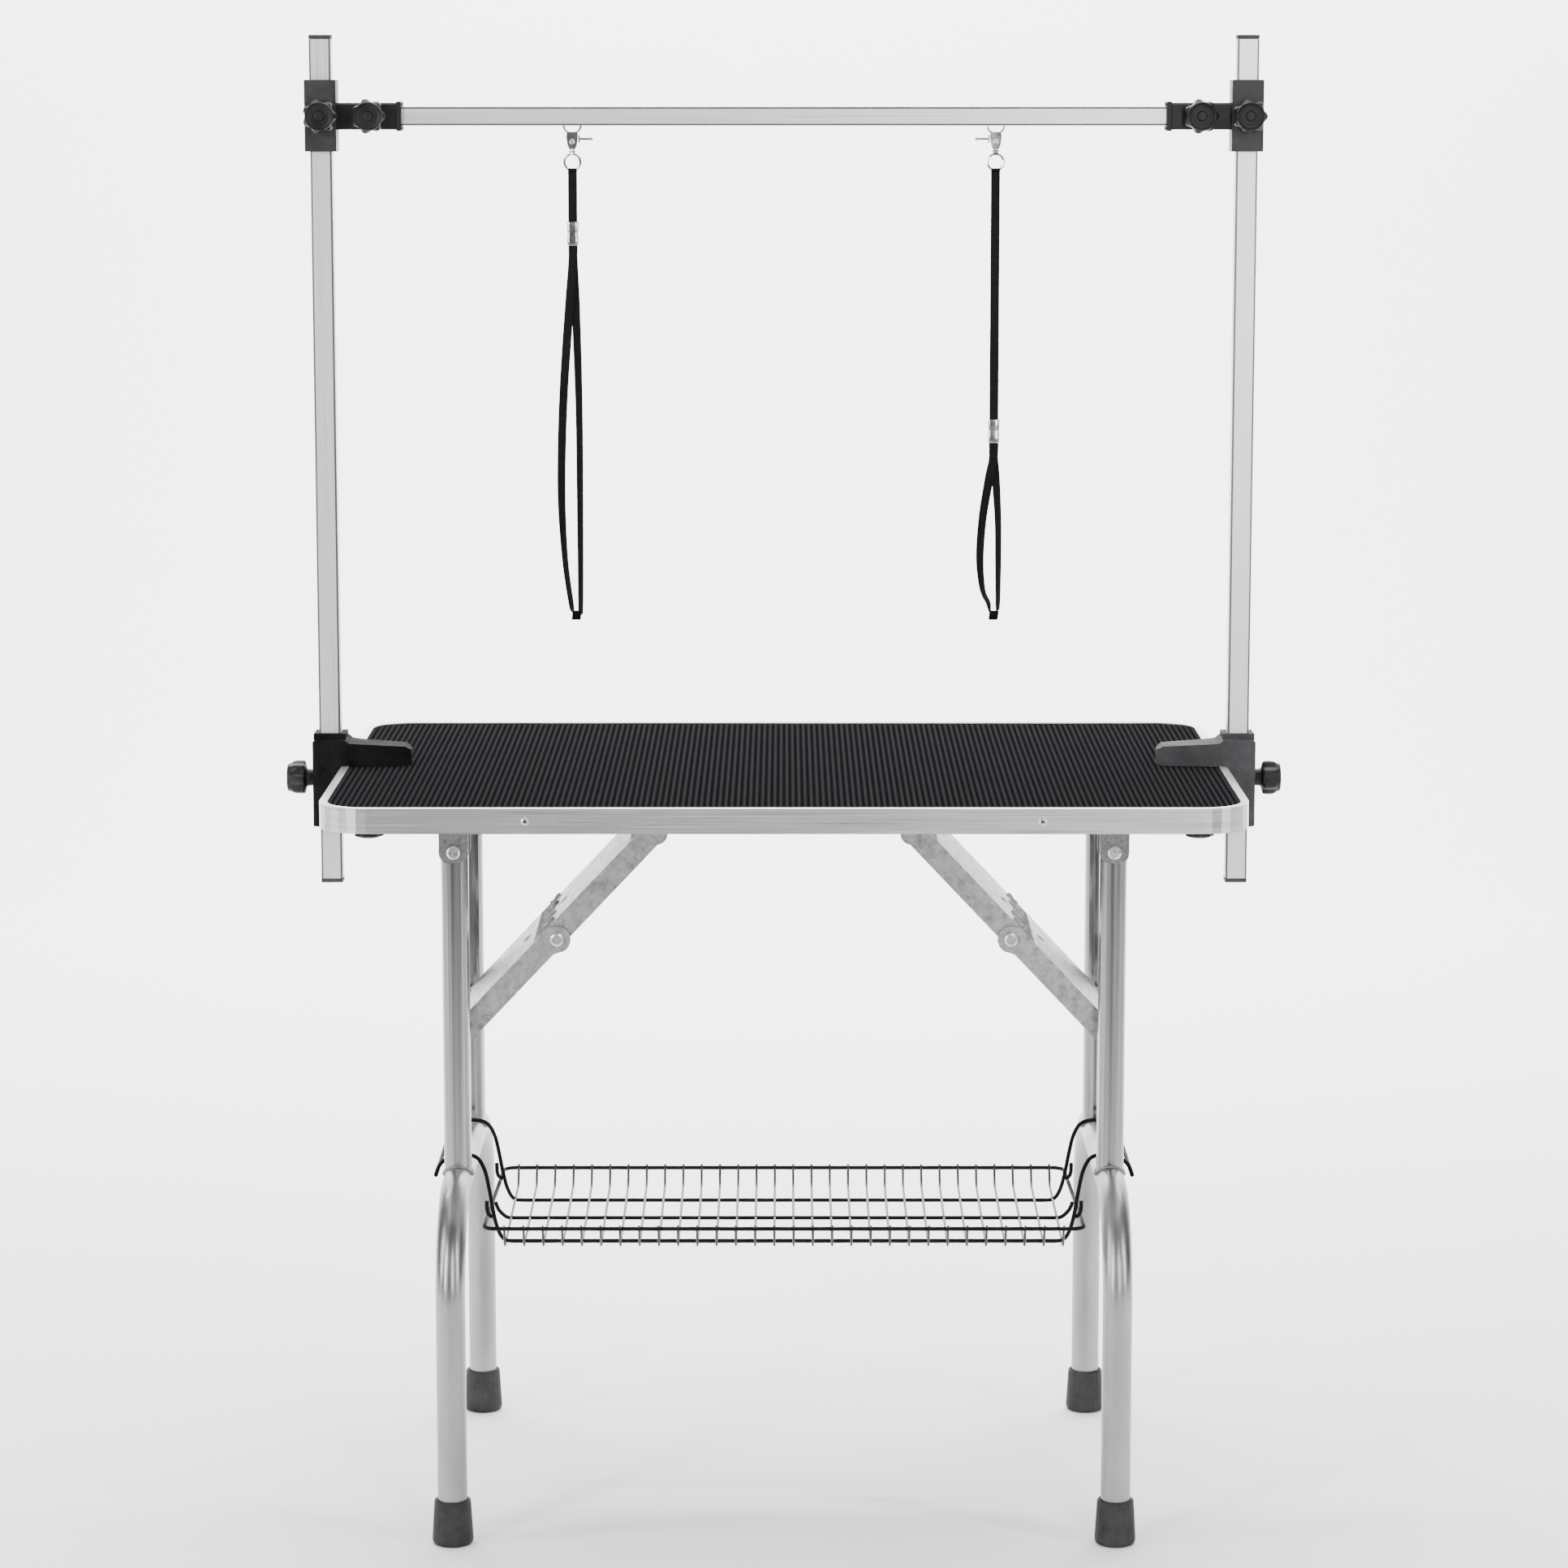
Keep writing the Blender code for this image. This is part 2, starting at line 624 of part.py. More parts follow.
def build_corner_clamp(side, sign, bar_pivot):
    """A tee-shaped plastic corner: an upright sleeve on the post and a level socket for the bar."""
    x = sign * POST_X
    half = CORNER_SLEEVE / 2
    name = f"{side}_corner_clamp"
    sleeve = (x - half, -half, CORNER_BOTTOM), (x + half, half, CORNER_TOP)
    made = box(name, *sleeve, bevel=0.0015, segments=1)
    level = SOCKET_SIZE / 2
    across = sorted((sign * (POST_X - half + 0.002), sign * SOCKET_END))
    socket = box(
        f"{name}_socket",
        (across[0], -level, BAR_HEIGHT - level),
        (across[1], level, BAR_HEIGHT + level),
        bevel=0.0015,
        segments=1,
    )
    hole = POST_SIZE / 2 + GAP
    bore = BAR_SIZE / 2 + GAP
    inner = sorted((sign * (BAR_HALF_LENGTH + GAP), sign * (SOCKET_END - 0.01)))
    post_hole = (x - hole, -hole, CORNER_BOTTOM - 0.01), (x + hole, hole, CORNER_TOP + 0.01)
    join(made, socket)
    cut(
        made,
        box(f"{name}_post_hole", *post_hole),
        box(f"{name}_bar_hole", (inner[0], -bore, BAR_HEIGHT - bore), (inner[1], bore, BAR_HEIGHT + bore)),
    )
    for label, knob_x, face, tube_face in (
        ("post", x, half, POST_SIZE / 2),
        ("bar", sign * BAR_KNOB_X, level, BAR_SIZE / 2),
    ):
        ends = (knob_x, -0.03, BAR_HEIGHT), (knob_x, -0.005, BAR_HEIGHT)
        cut(made, cylinder(f"{name}_{label}_stud_hole", *ends, STUD_RADIUS + GAP, 28))
        seat = (knob_x, -face - GAP, BAR_HEIGHT)
        knob_pivot = empty(f"{side}_{label}_knob_pivot", seat, bar_pivot)
        star_knob(f"{side}_{label}_knob", seat, (0, -1, 0), face - tube_face, knob_pivot)
    finish(made, "black_plastic", bar_pivot)


def build_crossbar(bar_pivot):
    half = BAR_SIZE / 2
    low = [-BAR_HALF_LENGTH, -half, BAR_HEIGHT - half]
    high = [BAR_HALF_LENGTH, half, BAR_HEIGHT + half]
    made = square_tube("crossbar", low, high, 0, POST_WALL)
    reach, middle = half + 0.006, (STAPLE_LOW + STAPLE_HIGH) / 2
    bend = (STAPLE_HIGH - STAPLE_LOW) / 2
    for side, sign in SIDES.items():
        path = [(half - 0.001, STAPLE_LOW)] + arc((reach, middle), bend, -90, 90, 6)
        path.append((half - 0.001, STAPLE_HIGH))
        points = [(sign * NOOSE_X, y, z) for y, z in path]
        join(made, wire(f"{side}_noose_staple", points, STAPLE_RADIUS, 2))
    finish(made, "post_aluminium", bar_pivot)


# ------------------------------------------------------------- table clamps


def build_table_clamp(side, sign):
    """A plastic clamp: a collar round the post, a finger over the mat and a lower jaw with a screw."""
    name = f"{side}_table_clamp"
    trim_face = TOP_WIDTH / 2 + 0.0004
    lip_inside = TOP_WIDTH / 2 - TRIM_LIP_WIDTH - 0.0005
    over_trim = TOP_HEIGHT + GAP + TRIM_LIP + GAP
    over_mat = TOP_HEIGHT + GAP
    section = [
        (CLAMP_OUTSIDE, CLAMP_BOTTOM),
        (CLAMP_OUTSIDE, CLAMP_TOP - 0.003),
        (CLAMP_OUTSIDE - 0.003, CLAMP_TOP),
        (0.4535, CLAMP_TOP),
        (0.4495, CLAMP_TOP - 0.0035),
        (0.440, 0.7855),
        (CLAMP_FINGER_TIP + 0.006, 0.7825),
        (CLAMP_FINGER_TIP, 0.778),
        (CLAMP_FINGER_TIP, over_mat),
        (lip_inside, over_mat),
        (lip_inside, over_trim),
        (trim_face, over_trim),
        (trim_face, CLAMP_BOTTOM + 0.012),
        (0.420, CLAMP_BOTTOM + 0.012),
        (0.417, CLAMP_BOTTOM + 0.009),
        (0.417, CLAMP_BOTTOM),
    ]
    made = outline(name, [(sign * x, z) for x, z in section], "y", -CLAMP_HALF_WIDTH, CLAMP_HALF_WIDTH)
    tip, wide = 0.012, CLAMP_HALF_WIDTH
    plan = arc((CLAMP_OUTSIDE - 0.006, wide - 0.006), 0.006, 0, 90, 3)
    plan += [(0.452, wide), (0.440, wide - 0.004)]
    plan += arc((CLAMP_FINGER_TIP + tip, tip * 0.4), tip, 90, 180, 4)
    plan += [(x, -y) for x, y in reversed(plan)]
    combine(made, outline(f"{name}_plan", [(sign * x, y) for x, y in plan], "z", 0.65, 0.85), "INTERSECT")
    x, hole = sign * POST_X, POST_SIZE / 2 + GAP
    screw_x = sign * CLAMP_SCREW_X
    knob_side = sorted((sign * (CLAMP_OUTSIDE + 0.01), sign * POST_X))
    cut(
        made,
        box(f"{name}_post_hole", (x - hole, -hole, 0.65), (x + hole, hole, 0.85)),
        cylinder(f"{name}_screw_hole", (screw_x, 0, 0.69), (screw_x, 0, 0.73), 0.0053, 16),
        cylinder(
            f"{name}_stud_hole",
            (knob_side[0], 0, CLAMP_KNOB_HEIGHT),
            (knob_side[1], 0, CLAMP_KNOB_HEIGHT),
            STUD_RADIUS + GAP,
            28,
        ),
    )
    finish(made, "black_plastic")

    seat = (sign * (CLAMP_OUTSIDE + GAP), 0.0, CLAMP_KNOB_HEIGHT)
    knob_pivot = empty(f"{side}_clamp_knob_pivot", seat)
    stud = CLAMP_OUTSIDE - POST_X - POST_SIZE / 2
    star_knob(f"{side}_clamp_knob", seat, (sign, 0, 0), stud, knob_pivot, CLAMP_KNOB_LENGTH)

    screw_pivot = empty(f"{side}_clamp_screw_pivot", (screw_x, 0.0, CLAMP_BOTTOM))
    handle_top, handle_bottom, pad_top = CLAMP_BOTTOM - 0.001, CLAMP_BOTTOM - 0.015, 0.7393
    rings = [
        star_ring(handle_bottom, 0.010),
        star_ring(handle_bottom + 0.002, 0.0145, 0.07),
        star_ring(handle_top - 0.002, 0.0145, 0.07),
        star_ring(handle_top, 0.009),
        star_ring(handle_top, 0.005),
        star_ring(pad_top - 0.005, 0.005),
        star_ring(pad_top - 0.005, 0.010),
        star_ring(pad_top, 0.010),
    ]
    screw = loft(f"{side}_clamp_screw", rings)
    screw.location = (screw_x, 0.0, 0.0)
    finish(screw, "black_plastic", screw_pivot)


# --------------------------------------------------------------------- tray


def build_tray():
    """A basket that hooks over both crossbars. Its close-set thin wires stand here as one folded sheet."""
    pivot = empty("tray_pivot", (0.0, 0.0, TRAY_RIM_Z))
    t = TRAY_SHEET
    half = [
        (TRAY_FLOOR_Y - t * 0.2, TRAY_FLOOR_Z + t),
        (TRAY_RIM_Y - t * 0.6, TRAY_RIM_Z),
        (TRAY_RIM_Y + t * 0.6, TRAY_RIM_Z),
        (TRAY_FLOOR_Y + t, TRAY_FLOOR_Z),
    ]
    section = half + [(-y, z) for y, z in reversed(half)]
    basket = outline("tray_basket", section, "x", -TRAY_HALF_LENGTH, TRAY_HALF_LENGTH)
    for end, toward in ENDS.items():
        start = (-TRAY_RIM_HALF_LENGTH, toward * TRAY_RIM_Y, TRAY_RIM_Z)
        stop = (TRAY_RIM_HALF_LENGTH, toward * TRAY_RIM_Y, TRAY_RIM_Z)
        join(basket, cylinder(f"tray_{end}_rim", start, stop, 0.0025, 8))
    finish(basket, "tray_wire", pivot)

    arm = [
        (TRAY_HALF_LENGTH + 0.0005, TRAY_FLOOR_Z + 0.001),
        (0.2935, 0.283),
        (0.3000, 0.293),
        (0.3055, 0.312),
        (0.3085, 0.335),
        (0.3115, 0.352),
        (0.3185, 0.3625),
        (0.3300, 0.3665),
        (0.3430, 0.3660),
        (0.3540, 0.3600),
        (0.3585, 0.3500),
    ]
    for side, sign in SIDES.items():
        rear = [(sign * x, HOOK_REAR_Y, z) for x, z in arm]
        front = [(sign * x, HOOK_FRONT_Y, z) for x, z in reversed(arm)]
        rear.append((sign * 0.3590, HOOK_REAR_Y - 0.006, 0.346))
        front.insert(0, (sign * 0.3590, HOOK_FRONT_Y + 0.006, 0.346))
        finish(wire(f"{side}_tray_hook", rear + front, TRAY_WIRE_RADIUS, 2), "tray_wire", pivot)


# ------------------------------------------------------------------- nooses


def smooth_route(points, spacing):
    """Points spaced along a Catmull-Rom curve. A point is (x, y, z, twist in degrees)."""
    route = [Vector(p) for p in points]
    padded = [route[0] * 2 - route[1]] + route + [route[-1] * 2 - route[-2]]
    dense = []
    for a, b, c, d in zip(padded, padded[1:], padded[2:], padded[3:]):
        for i in range(24):
            t = i / 24
            square, cube = 2 * a - 5 * b + 4 * c - d, 3 * b - a - 3 * c + d
            dense.append(0.5 * (2 * b + (c - a) * t + square * t * t + cube * t**3))
    dense.append(route[-1])
    spaced, since = [dense[0]], 0.0
    for before, after in zip(dense, dense[1:]):
        since += (after.xyz - before.xyz).length
        if since >= spacing:
            spaced.append(after)
            since = 0.0
    if (spaced[-1].xyz - dense[-1].xyz).length < spacing / 2:
        spaced.pop()
    return spaced + [dense[-1]]


def ribbon(name, route, width, thickness):
    """A flat strap along a route. Its width lies along X at twist 0 and along Y at twist 90."""
    rings = []
    for i, point in enumerate(route):
        ahead = route[min(i + 1, len(route) - 1)].xyz
        behind = route[max(i - 1, 0)].xyz
        tangent = (ahead - behind).normalized()
        a = math.radians(point.w)
        across = Vector((math.cos(a), math.sin(a), 0.0))
        across = (across - tangent * across.dot(tangent)).normalized() * width / 2
        face = tangent.cross(across).normalized() * thickness / 2
        corners = (across + face, face - across, -across - face, across - face)
        rings.append([point.xyz + corner for corner in corners])
    return loft(name, rings)


def strap_route(x, slide_height):
    """From the swivel eye down through the slide, round the bottom of the loop and back up to the eye."""
    top, bottom = EYE_HEIGHT - EYE_RADIUS - JAW_WIRE - GAP, 0.9165
    above, below = slide_height + SLIDE_LENGTH / 2 + 0.004, slide_height - SLIDE_LENGTH / 2 - 0.012
    drop = below - bottom
    front, back = NOOSE_Y - STRAP_SPLIT, NOOSE_Y + STRAP_SPLIT
    down = [
        (x, front, top, 0),
        (x, front, (top + above) / 2, 0),
        (x, front, above, 0),
        (x, front, below, 0),
        (x - 0.0045, front, below - drop * 0.15, 0),
        (x - 0.0110, front, below - drop * 0.40, 18),
        (x - 0.0135, front, below - drop * 0.65, 28),
        (x - 0.0105, NOOSE_Y, below - drop * 0.84, 50),
        (x - 0.0045, NOOSE_Y, bottom + 0.012, 90),
    ]
    turn = [
        (x - 0.0025, NOOSE_Y, bottom + 0.0035, 90),
        (x + 0.0010, NOOSE_Y, bottom, 90),
        (x + 0.0045, NOOSE_Y, bottom + 0.0035, 90),
    ]
    up = [
        (x + 0.0055, NOOSE_Y, bottom + 0.012, 90),
        (x + 0.0055, NOOSE_Y, below - drop * 0.65, 50),
        (x + 0.0050, NOOSE_Y + 0.001, below - drop * 0.40, 38),
        (x + 0.0025, back, below - drop * 0.15, 20),
        (x, back, below, 0),
        (x, back, above, 0),
        (x, back, (top + above) / 2, 0),
        (x, back, top, 0),
    ]
    return down + turn + up


def build_noose(side, sign, bar_pivot):
    x = sign * NOOSE_X
    swing = empty(f"{side}_noose_pivot", (x, NOOSE_Y, STAPLE_LOW), bar_pivot)

    jaw = arc((x, JAW_HEIGHT), JAW_RADIUS, -90, 270, 24)[:-1]
    hook = wire(f"{side}_snap_hook", [(u, NOOSE_Y, v) for u, v in jaw], JAW_WIRE, 2, closed=True)
    body = [(-0.0052, 1.4115), (-0.0060, 1.4070), (-0.0048, 1.3985), (-0.0030, 1.3940)]
    body += [(-u, v) for u, v in reversed(body)]
    plate = [(x + u, v) for u, v in body]
    join(hook, outline(f"{side}_snap_body", plate, "y", NOOSE_Y - 0.0026, NOOSE_Y + 0.0026))
    finish(hook, "chrome", swing)

    trigger_pivot = empty(f"{side}_snap_trigger_pivot", (x, NOOSE_Y, 1.4045), swing)
    lever = -sign
    low, high = sorted((x + lever * 0.0064, x + lever * 0.0078))
    trigger = box(f"{side}_snap_trigger", (low, NOOSE_Y - 0.002, 1.4005), (high, NOOSE_Y + 0.002, 1.4085))
    ends = (x + lever * 0.007, NOOSE_Y, 1.4045), (x + lever * 0.0186, NOOSE_Y, 1.4045)
    join(trigger, cylinder(f"{side}_snap_lever", *ends, 0.0012, 10))
    finish(trigger, "chrome", trigger_pivot)

    swivel = empty(f"{side}_swivel_pivot", (x, NOOSE_Y, 1.3937), swing)
    ring = arc((x, EYE_HEIGHT), EYE_RADIUS, 90, 450, 24)[:-1]
    eye = wire(f"{side}_swivel_eye", [(u, NOOSE_Y, v) for u, v in ring], JAW_WIRE, 2, closed=True)
    stem_low = EYE_HEIGHT + EYE_RADIUS - 0.0005
    join(eye, cylinder(f"{side}_swivel_stem", (x, NOOSE_Y, stem_low), (x, NOOSE_Y, 1.3937), 0.0026, 12))
    finish(eye, "chrome", swivel)

    route = smooth_route(strap_route(x, SLIDE_HEIGHTS[side]), 0.0075)
    finish(ribbon(f"{side}_noose_strap", route, STRAP_WIDTH, STRAP_THICKNESS), "strap_nylon", swivel)

    height = SLIDE_HEIGHTS[side]
    slide_pivot = empty(f"{side}_noose_slide_pivot", (x, NOOSE_Y, height), swivel)
    wide, deep = STRAP_WIDTH / 2 + 0.0008, STRAP_SPLIT + STRAP_THICKNESS / 2 + 0.0008
    wall = 0.0009
    slide = box(
        f"{side}_noose_slide",
        (x - wide - wall, NOOSE_Y - deep - wall, height - SLIDE_LENGTH / 2),
        (x + wide + wall, NOOSE_Y + deep + wall, height + SLIDE_LENGTH / 2),
        bevel=0.0008,
    )
    bore = box(
        f"{side}_noose_slide_bore",
        (x - wide, NOOSE_Y - deep, height - SLIDE_LENGTH),
        (x + wide, NOOSE_Y + deep, height + SLIDE_LENGTH),
    )
    finish(cut(slide, bore), "chrome", slide_pivot)


# --------------------------------------------------------------------- main


def main():
    for old in list(bpy.data.objects):
        bpy.data.objects.remove(old)
    bpy.context.scene.collection.children.link(TABLE)
    bpy.context.scene.collection.children.link(CUTTERS)
    board_bottom = build_top()
    bar_pivot = None
    for side, sign in SIDES.items():
        build_leg(side, sign, board_bottom)
        build_brace(side, sign, board_bottom)
        build_table_clamp(side, sign)
        post_pivot = empty(f"{side}_post_pivot", (sign * POST_X, 0.0, CLAMP_TOP))
        build_post(side, sign, post_pivot)
        bar_pivot = bar_pivot or empty("crossbar_pivot", (sign * POST_X, 0.0, BAR_HEIGHT), post_pivot)
        build_corner_clamp(side, sign, bar_pivot)
        build_noose(side, sign, bar_pivot)
    build_crossbar(bar_pivot)
    build_tray()


main()
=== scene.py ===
"""Looks of the folding grooming table: materials, wire tray, nooses, knobs, fittings and studio."""

import math

import bmesh
import bpy
from mathutils import Matrix, Vector


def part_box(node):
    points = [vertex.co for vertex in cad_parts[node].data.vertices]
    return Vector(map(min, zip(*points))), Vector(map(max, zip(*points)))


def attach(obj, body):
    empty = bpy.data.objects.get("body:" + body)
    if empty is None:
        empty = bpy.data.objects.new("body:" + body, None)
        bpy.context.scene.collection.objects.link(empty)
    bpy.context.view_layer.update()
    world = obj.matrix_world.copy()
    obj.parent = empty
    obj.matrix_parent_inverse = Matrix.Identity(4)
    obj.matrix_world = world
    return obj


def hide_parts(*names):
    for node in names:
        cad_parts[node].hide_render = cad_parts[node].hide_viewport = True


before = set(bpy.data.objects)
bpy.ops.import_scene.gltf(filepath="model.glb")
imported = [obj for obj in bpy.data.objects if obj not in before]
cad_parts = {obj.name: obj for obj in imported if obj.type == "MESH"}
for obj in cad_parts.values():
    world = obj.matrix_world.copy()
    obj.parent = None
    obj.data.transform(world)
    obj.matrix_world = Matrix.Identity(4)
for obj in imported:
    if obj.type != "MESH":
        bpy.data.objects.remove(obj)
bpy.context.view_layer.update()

SIDES = {"left": -1, "right": 1}
ENDS = {"front": -1, "rear": 1}
SCENE = bpy.context.scene

# Camera, as the photograph was taken
CAMERA_PLACE = (0.0, -4.681, 1.463)
CAMERA_TILT = 8.77
CAMERA_LENS = 104.65

# Nooses, as in the CAD
NOOSE_X = 0.216
NOOSE_Y = 0.014
EYE_LOW = 1.3710
STRAP_WIDTH = 0.009
STRAP_THICKNESS = 0.0014
STRAP_SPLIT = 0.0018
STRAP_BOTTOM = 0.9165
SLIDE_LENGTH = 0.024
HOOK_RIVET_HEIGHT = 1.4015
TRIGGER_HEIGHT = 1.4045
TRIGGER_REACH = 0.0186
SWIVEL_COLLAR_HEIGHT = 1.3908
SLIDE_HEIGHTS = {"left": 1.3085, "right": 1.1065}

# Frame and clamps, as in the CAD
LEG_X = 0.335
UPPER_TUBE_Y = 0.109
UPPER_TUBE_RADIUS = 0.014
LOWER_TUBE_RADIUS = 0.015
U_BEND = 0.100
BRACE_TOP = (0.130, 0.702)  # x and z of the right brace's top pivot
BRACE_FOOT = (LEG_X, 0.485)
TRIM_SCREW_X = 0.252
POST_X = 0.470
SLEEVE_INNER_X = 0.4535
SOCKET_MOUTH_X = 0.3905
BAR_HEIGHT = 1.4275
KNOB_DEPTH = 0.022
CLAMP_KNOB_DEPTH = 0.0272

# Studio
STRIP_LIGHTS = ((-72, 90.0), (-38, 120.0), (16, 80.0), (58, 90.0))  # degrees from the front, and watts
STRIP_DISTANCE = 4.2

# Tray wires
CROSS_WIRES = 30
CROSS_WIRE_SPAN = 0.287
CROSS_WIRE_RADIUS = 0.0013
TRAY_FLOOR_Y = 0.120
TRAY_FLOOR_Z = 0.2812
TRAY_RIM_Y = 0.133
TRAY_RIM_Z = 0.300
LONG_WIRE_RADIUS = 0.0021
RIM_RADIUS = 0.0021
RIM_HALF_LENGTH = {-1: 0.3080, 1: 0.3025}  # front and rear
HOOK_REAR_Y = 0.067
HOOK_FRONT_Y = -0.090
MIDDLE_WIRE_Y = -0.0096
FRONT_WIRE_Y = -0.106
CATCH_YS = (HOOK_REAR_Y, -0.0995)
HOOK_END = (0.3592, 0.3465)  # x and z of a hook's tip
FRONT_DIP = 0.0035  # how far the cross wires hang below the floor at the front


# ------------------------------------------------------------------ camera


def make_camera():
    camera = bpy.data.objects.new("camera", bpy.data.cameras.new("camera"))
    SCENE.collection.objects.link(camera)
    camera.location = CAMERA_PLACE
    camera.rotation_euler = (math.radians(90.0 - CAMERA_TILT), 0.0, 0.0)
    camera.data.sensor_width = 36.0
    camera.data.lens = CAMERA_LENS
    camera.data.clip_end = 50.0
    SCENE.camera = camera


make_camera()


# --------------------------------------------------------------- materials


def surface(name, colour, roughness, metallic=0.0, specular=0.5):
    """A Principled material, its node tree and its shader."""
    made = bpy.data.materials.new(name)
    made.use_nodes = True
    shader = made.node_tree.nodes["Principled BSDF"]
    shader.inputs["Base Color"].default_value = (*colour, 1.0)
    shader.inputs["Roughness"].default_value = roughness
    shader.inputs["Metallic"].default_value = metallic
    shader.inputs["Specular IOR Level"].default_value = specular
    return made, made.node_tree, shader


def coordinates(tree, scale, source="Object"):
    """Coordinates in metres, stretched by a scale along each axis."""
    place = tree.nodes.new("ShaderNodeTexCoord")
    mapping = tree.nodes.new("ShaderNodeMapping")
    mapping.inputs["Scale"].default_value = scale
    tree.links.new(place.outputs[source], mapping.inputs["Vector"])
    return mapping.outputs["Vector"]


def noise(tree, scale, detail=3.0, roughness=0.5):
    """Fractal noise with its own scale along each axis."""
    texture = tree.nodes.new("ShaderNodeTexNoise")
    texture.inputs["Scale"].default_value = 1.0
    texture.inputs["Detail"].default_value = detail
    texture.inputs["Roughness"].default_value = roughness
    tree.links.new(coordinates(tree, scale), texture.inputs["Vector"])
    return texture.outputs["Fac"]


def cells(tree, scale):
    """Voronoi cells; the texture's colour is random from cell to cell."""
    texture = tree.nodes.new("ShaderNodeTexVoronoi")
    texture.inputs["Scale"].default_value = 1.0
    tree.links.new(coordinates(tree, scale), texture.inputs["Vector"])
    return texture


def bands(tree, pitch, direction, source="Object"):
    """A sine of a given pitch in metres along X, Y or Z."""
    texture = tree.nodes.new("ShaderNodeTexWave")
    texture.bands_direction = direction
    texture.inputs["Scale"].default_value = math.tau / 20.0 / pitch
    tree.links.new(coordinates(tree, (1.0, 1.0, 1.0), source), texture.inputs["Vector"])
    return texture.outputs["Fac"]


def remap(tree, value, low, high, from_low=0.3, from_high=0.7):
    node = tree.nodes.new("ShaderNodeMapRange")
    node.inputs["From Min"].default_value = from_low
    node.inputs["From Max"].default_value = from_high
    node.inputs["To Min"].default_value = low
    node.inputs["To Max"].default_value = high
    tree.links.new(value, node.inputs["Value"])
    return node.outputs["Result"]


def arithmetic(tree, operation, first, second):
    node = tree.nodes.new("ShaderNodeMath")
    node.operation = operation
    for socket, value in zip(node.inputs, (first, second)):
        if isinstance(value, float):
            socket.default_value = value
        else:
            tree.links.new(value, socket)
    return node.outputs[0]


def tint(tree, shader, value, dark, light, from_low=0.3, from_high=0.7):
    """Base colour between two colours, driven by a value."""
    ramp = tree.nodes.new("ShaderNodeValToRGB")
    ramp.color_ramp.elements[0].position = from_low
    ramp.color_ramp.elements[0].color = (*dark, 1.0)
    ramp.color_ramp.elements[1].position = from_high
    ramp.color_ramp.elements[1].color = (*light, 1.0)
    tree.links.new(value, ramp.inputs["Fac"])
    tree.links.new(ramp.outputs["Color"], shader.inputs["Base Color"])


def bump(tree, shader, height, depth, strength=1.0):
    """A bump whose full height difference is depth metres."""
    node = tree.nodes.new("ShaderNodeBump")
    node.inputs["Distance"].default_value = depth
    node.inputs["Strength"].default_value = strength
    tree.links.new(height, node.inputs["Height"])
    tree.links.new(node.outputs["Normal"], shader.inputs["Normal"])


def ribbed_mat():
    """Black rubber with ribs along its depth and a finer grid across them; its colour holds painted shade,
    darker in the rib grooves, and a little uneven dust.
    """
    made, tree, shader = surface("ribbed_mat", (0.010, 0.010, 0.011), 0.8, specular=0.0)
    ribs = bands(tree, 0.0060, "X")
    grid = bands(tree, 0.0025, "Y")
    relief = arithmetic(tree, "ADD", ribs, arithmetic(tree, "MULTIPLY", grid, 0.3))
    height = arithmetic(tree, "MULTIPLY", relief, 0.75)
    bump(tree, shader, height, 0.00045)
    dust = arithmetic(tree, "MULTIPLY", noise(tree, (40.0, 12.0, 40.0), 6.0, 0.7), 0.12)
    # painted shade: the colour follows the rib and grid height, darker in the grooves, plus the dust
    level = arithmetic(tree, "ADD", height, dust)
    tint(tree, shader, level, (0.005, 0.005, 0.006), (0.024, 0.024, 0.025), 0.30, 1.0)
    tree.links.new(remap(tree, noise(tree, (60.0, 40.0, 60.0)), 0.74, 0.86), shader.inputs["Roughness"])
    return made


def brushed_metal(name, dark, light, roughness, grain, depth, metallic=1.0):
    """Metal with streaks: grain is the streaks' scale along X, Y and Z."""
    made, tree, shader = surface(name, light, roughness, metallic)
    streaks = noise(tree, grain, 4.0, 0.65)
    tint(tree, shader, streaks, dark, light)
    tree.links.new(remap(tree, streaks, roughness - 0.05, roughness + 0.06), shader.inputs["Roughness"])
    bump(tree, shader, streaks, depth)
    return made


def painted_corner_shade_tube(name, light, roughness, grain, flat_axes, metallic):
    """Pale anodised square tube with painted shade that darkens its rounded corners against its flat sides.
    """
    made, tree, shader = surface(name, light, roughness, metallic)
    streaks = noise(tree, grain, 4.0, 0.65)
    facing = tree.nodes.new("ShaderNodeSeparateXYZ")
    place = tree.nodes.new("ShaderNodeTexCoord")
    tree.links.new(place.outputs["Normal"], facing.inputs["Vector"])
    sides = [arithmetic(tree, "ABSOLUTE", facing.outputs[axis], 0.0) for axis in flat_axes]
    # painted shade: the colour darkens where the object-space normal leans between two flat faces, that is on
    # the rounded corners
    corner = remap(tree, arithmetic(tree, "MULTIPLY", *sides), 0.0, 1.0, 0.04, 0.30)
    level = arithmetic(tree, "SUBTRACT", streaks, corner)
    tint(tree, shader, level, (0.10, 0.10, 0.10), light, 0.0, 0.45)
    tree.links.new(remap(tree, streaks, roughness - 0.05, roughness + 0.06), shader.inputs["Roughness"])
    bump(tree, shader, streaks, 0.00002)
    return made


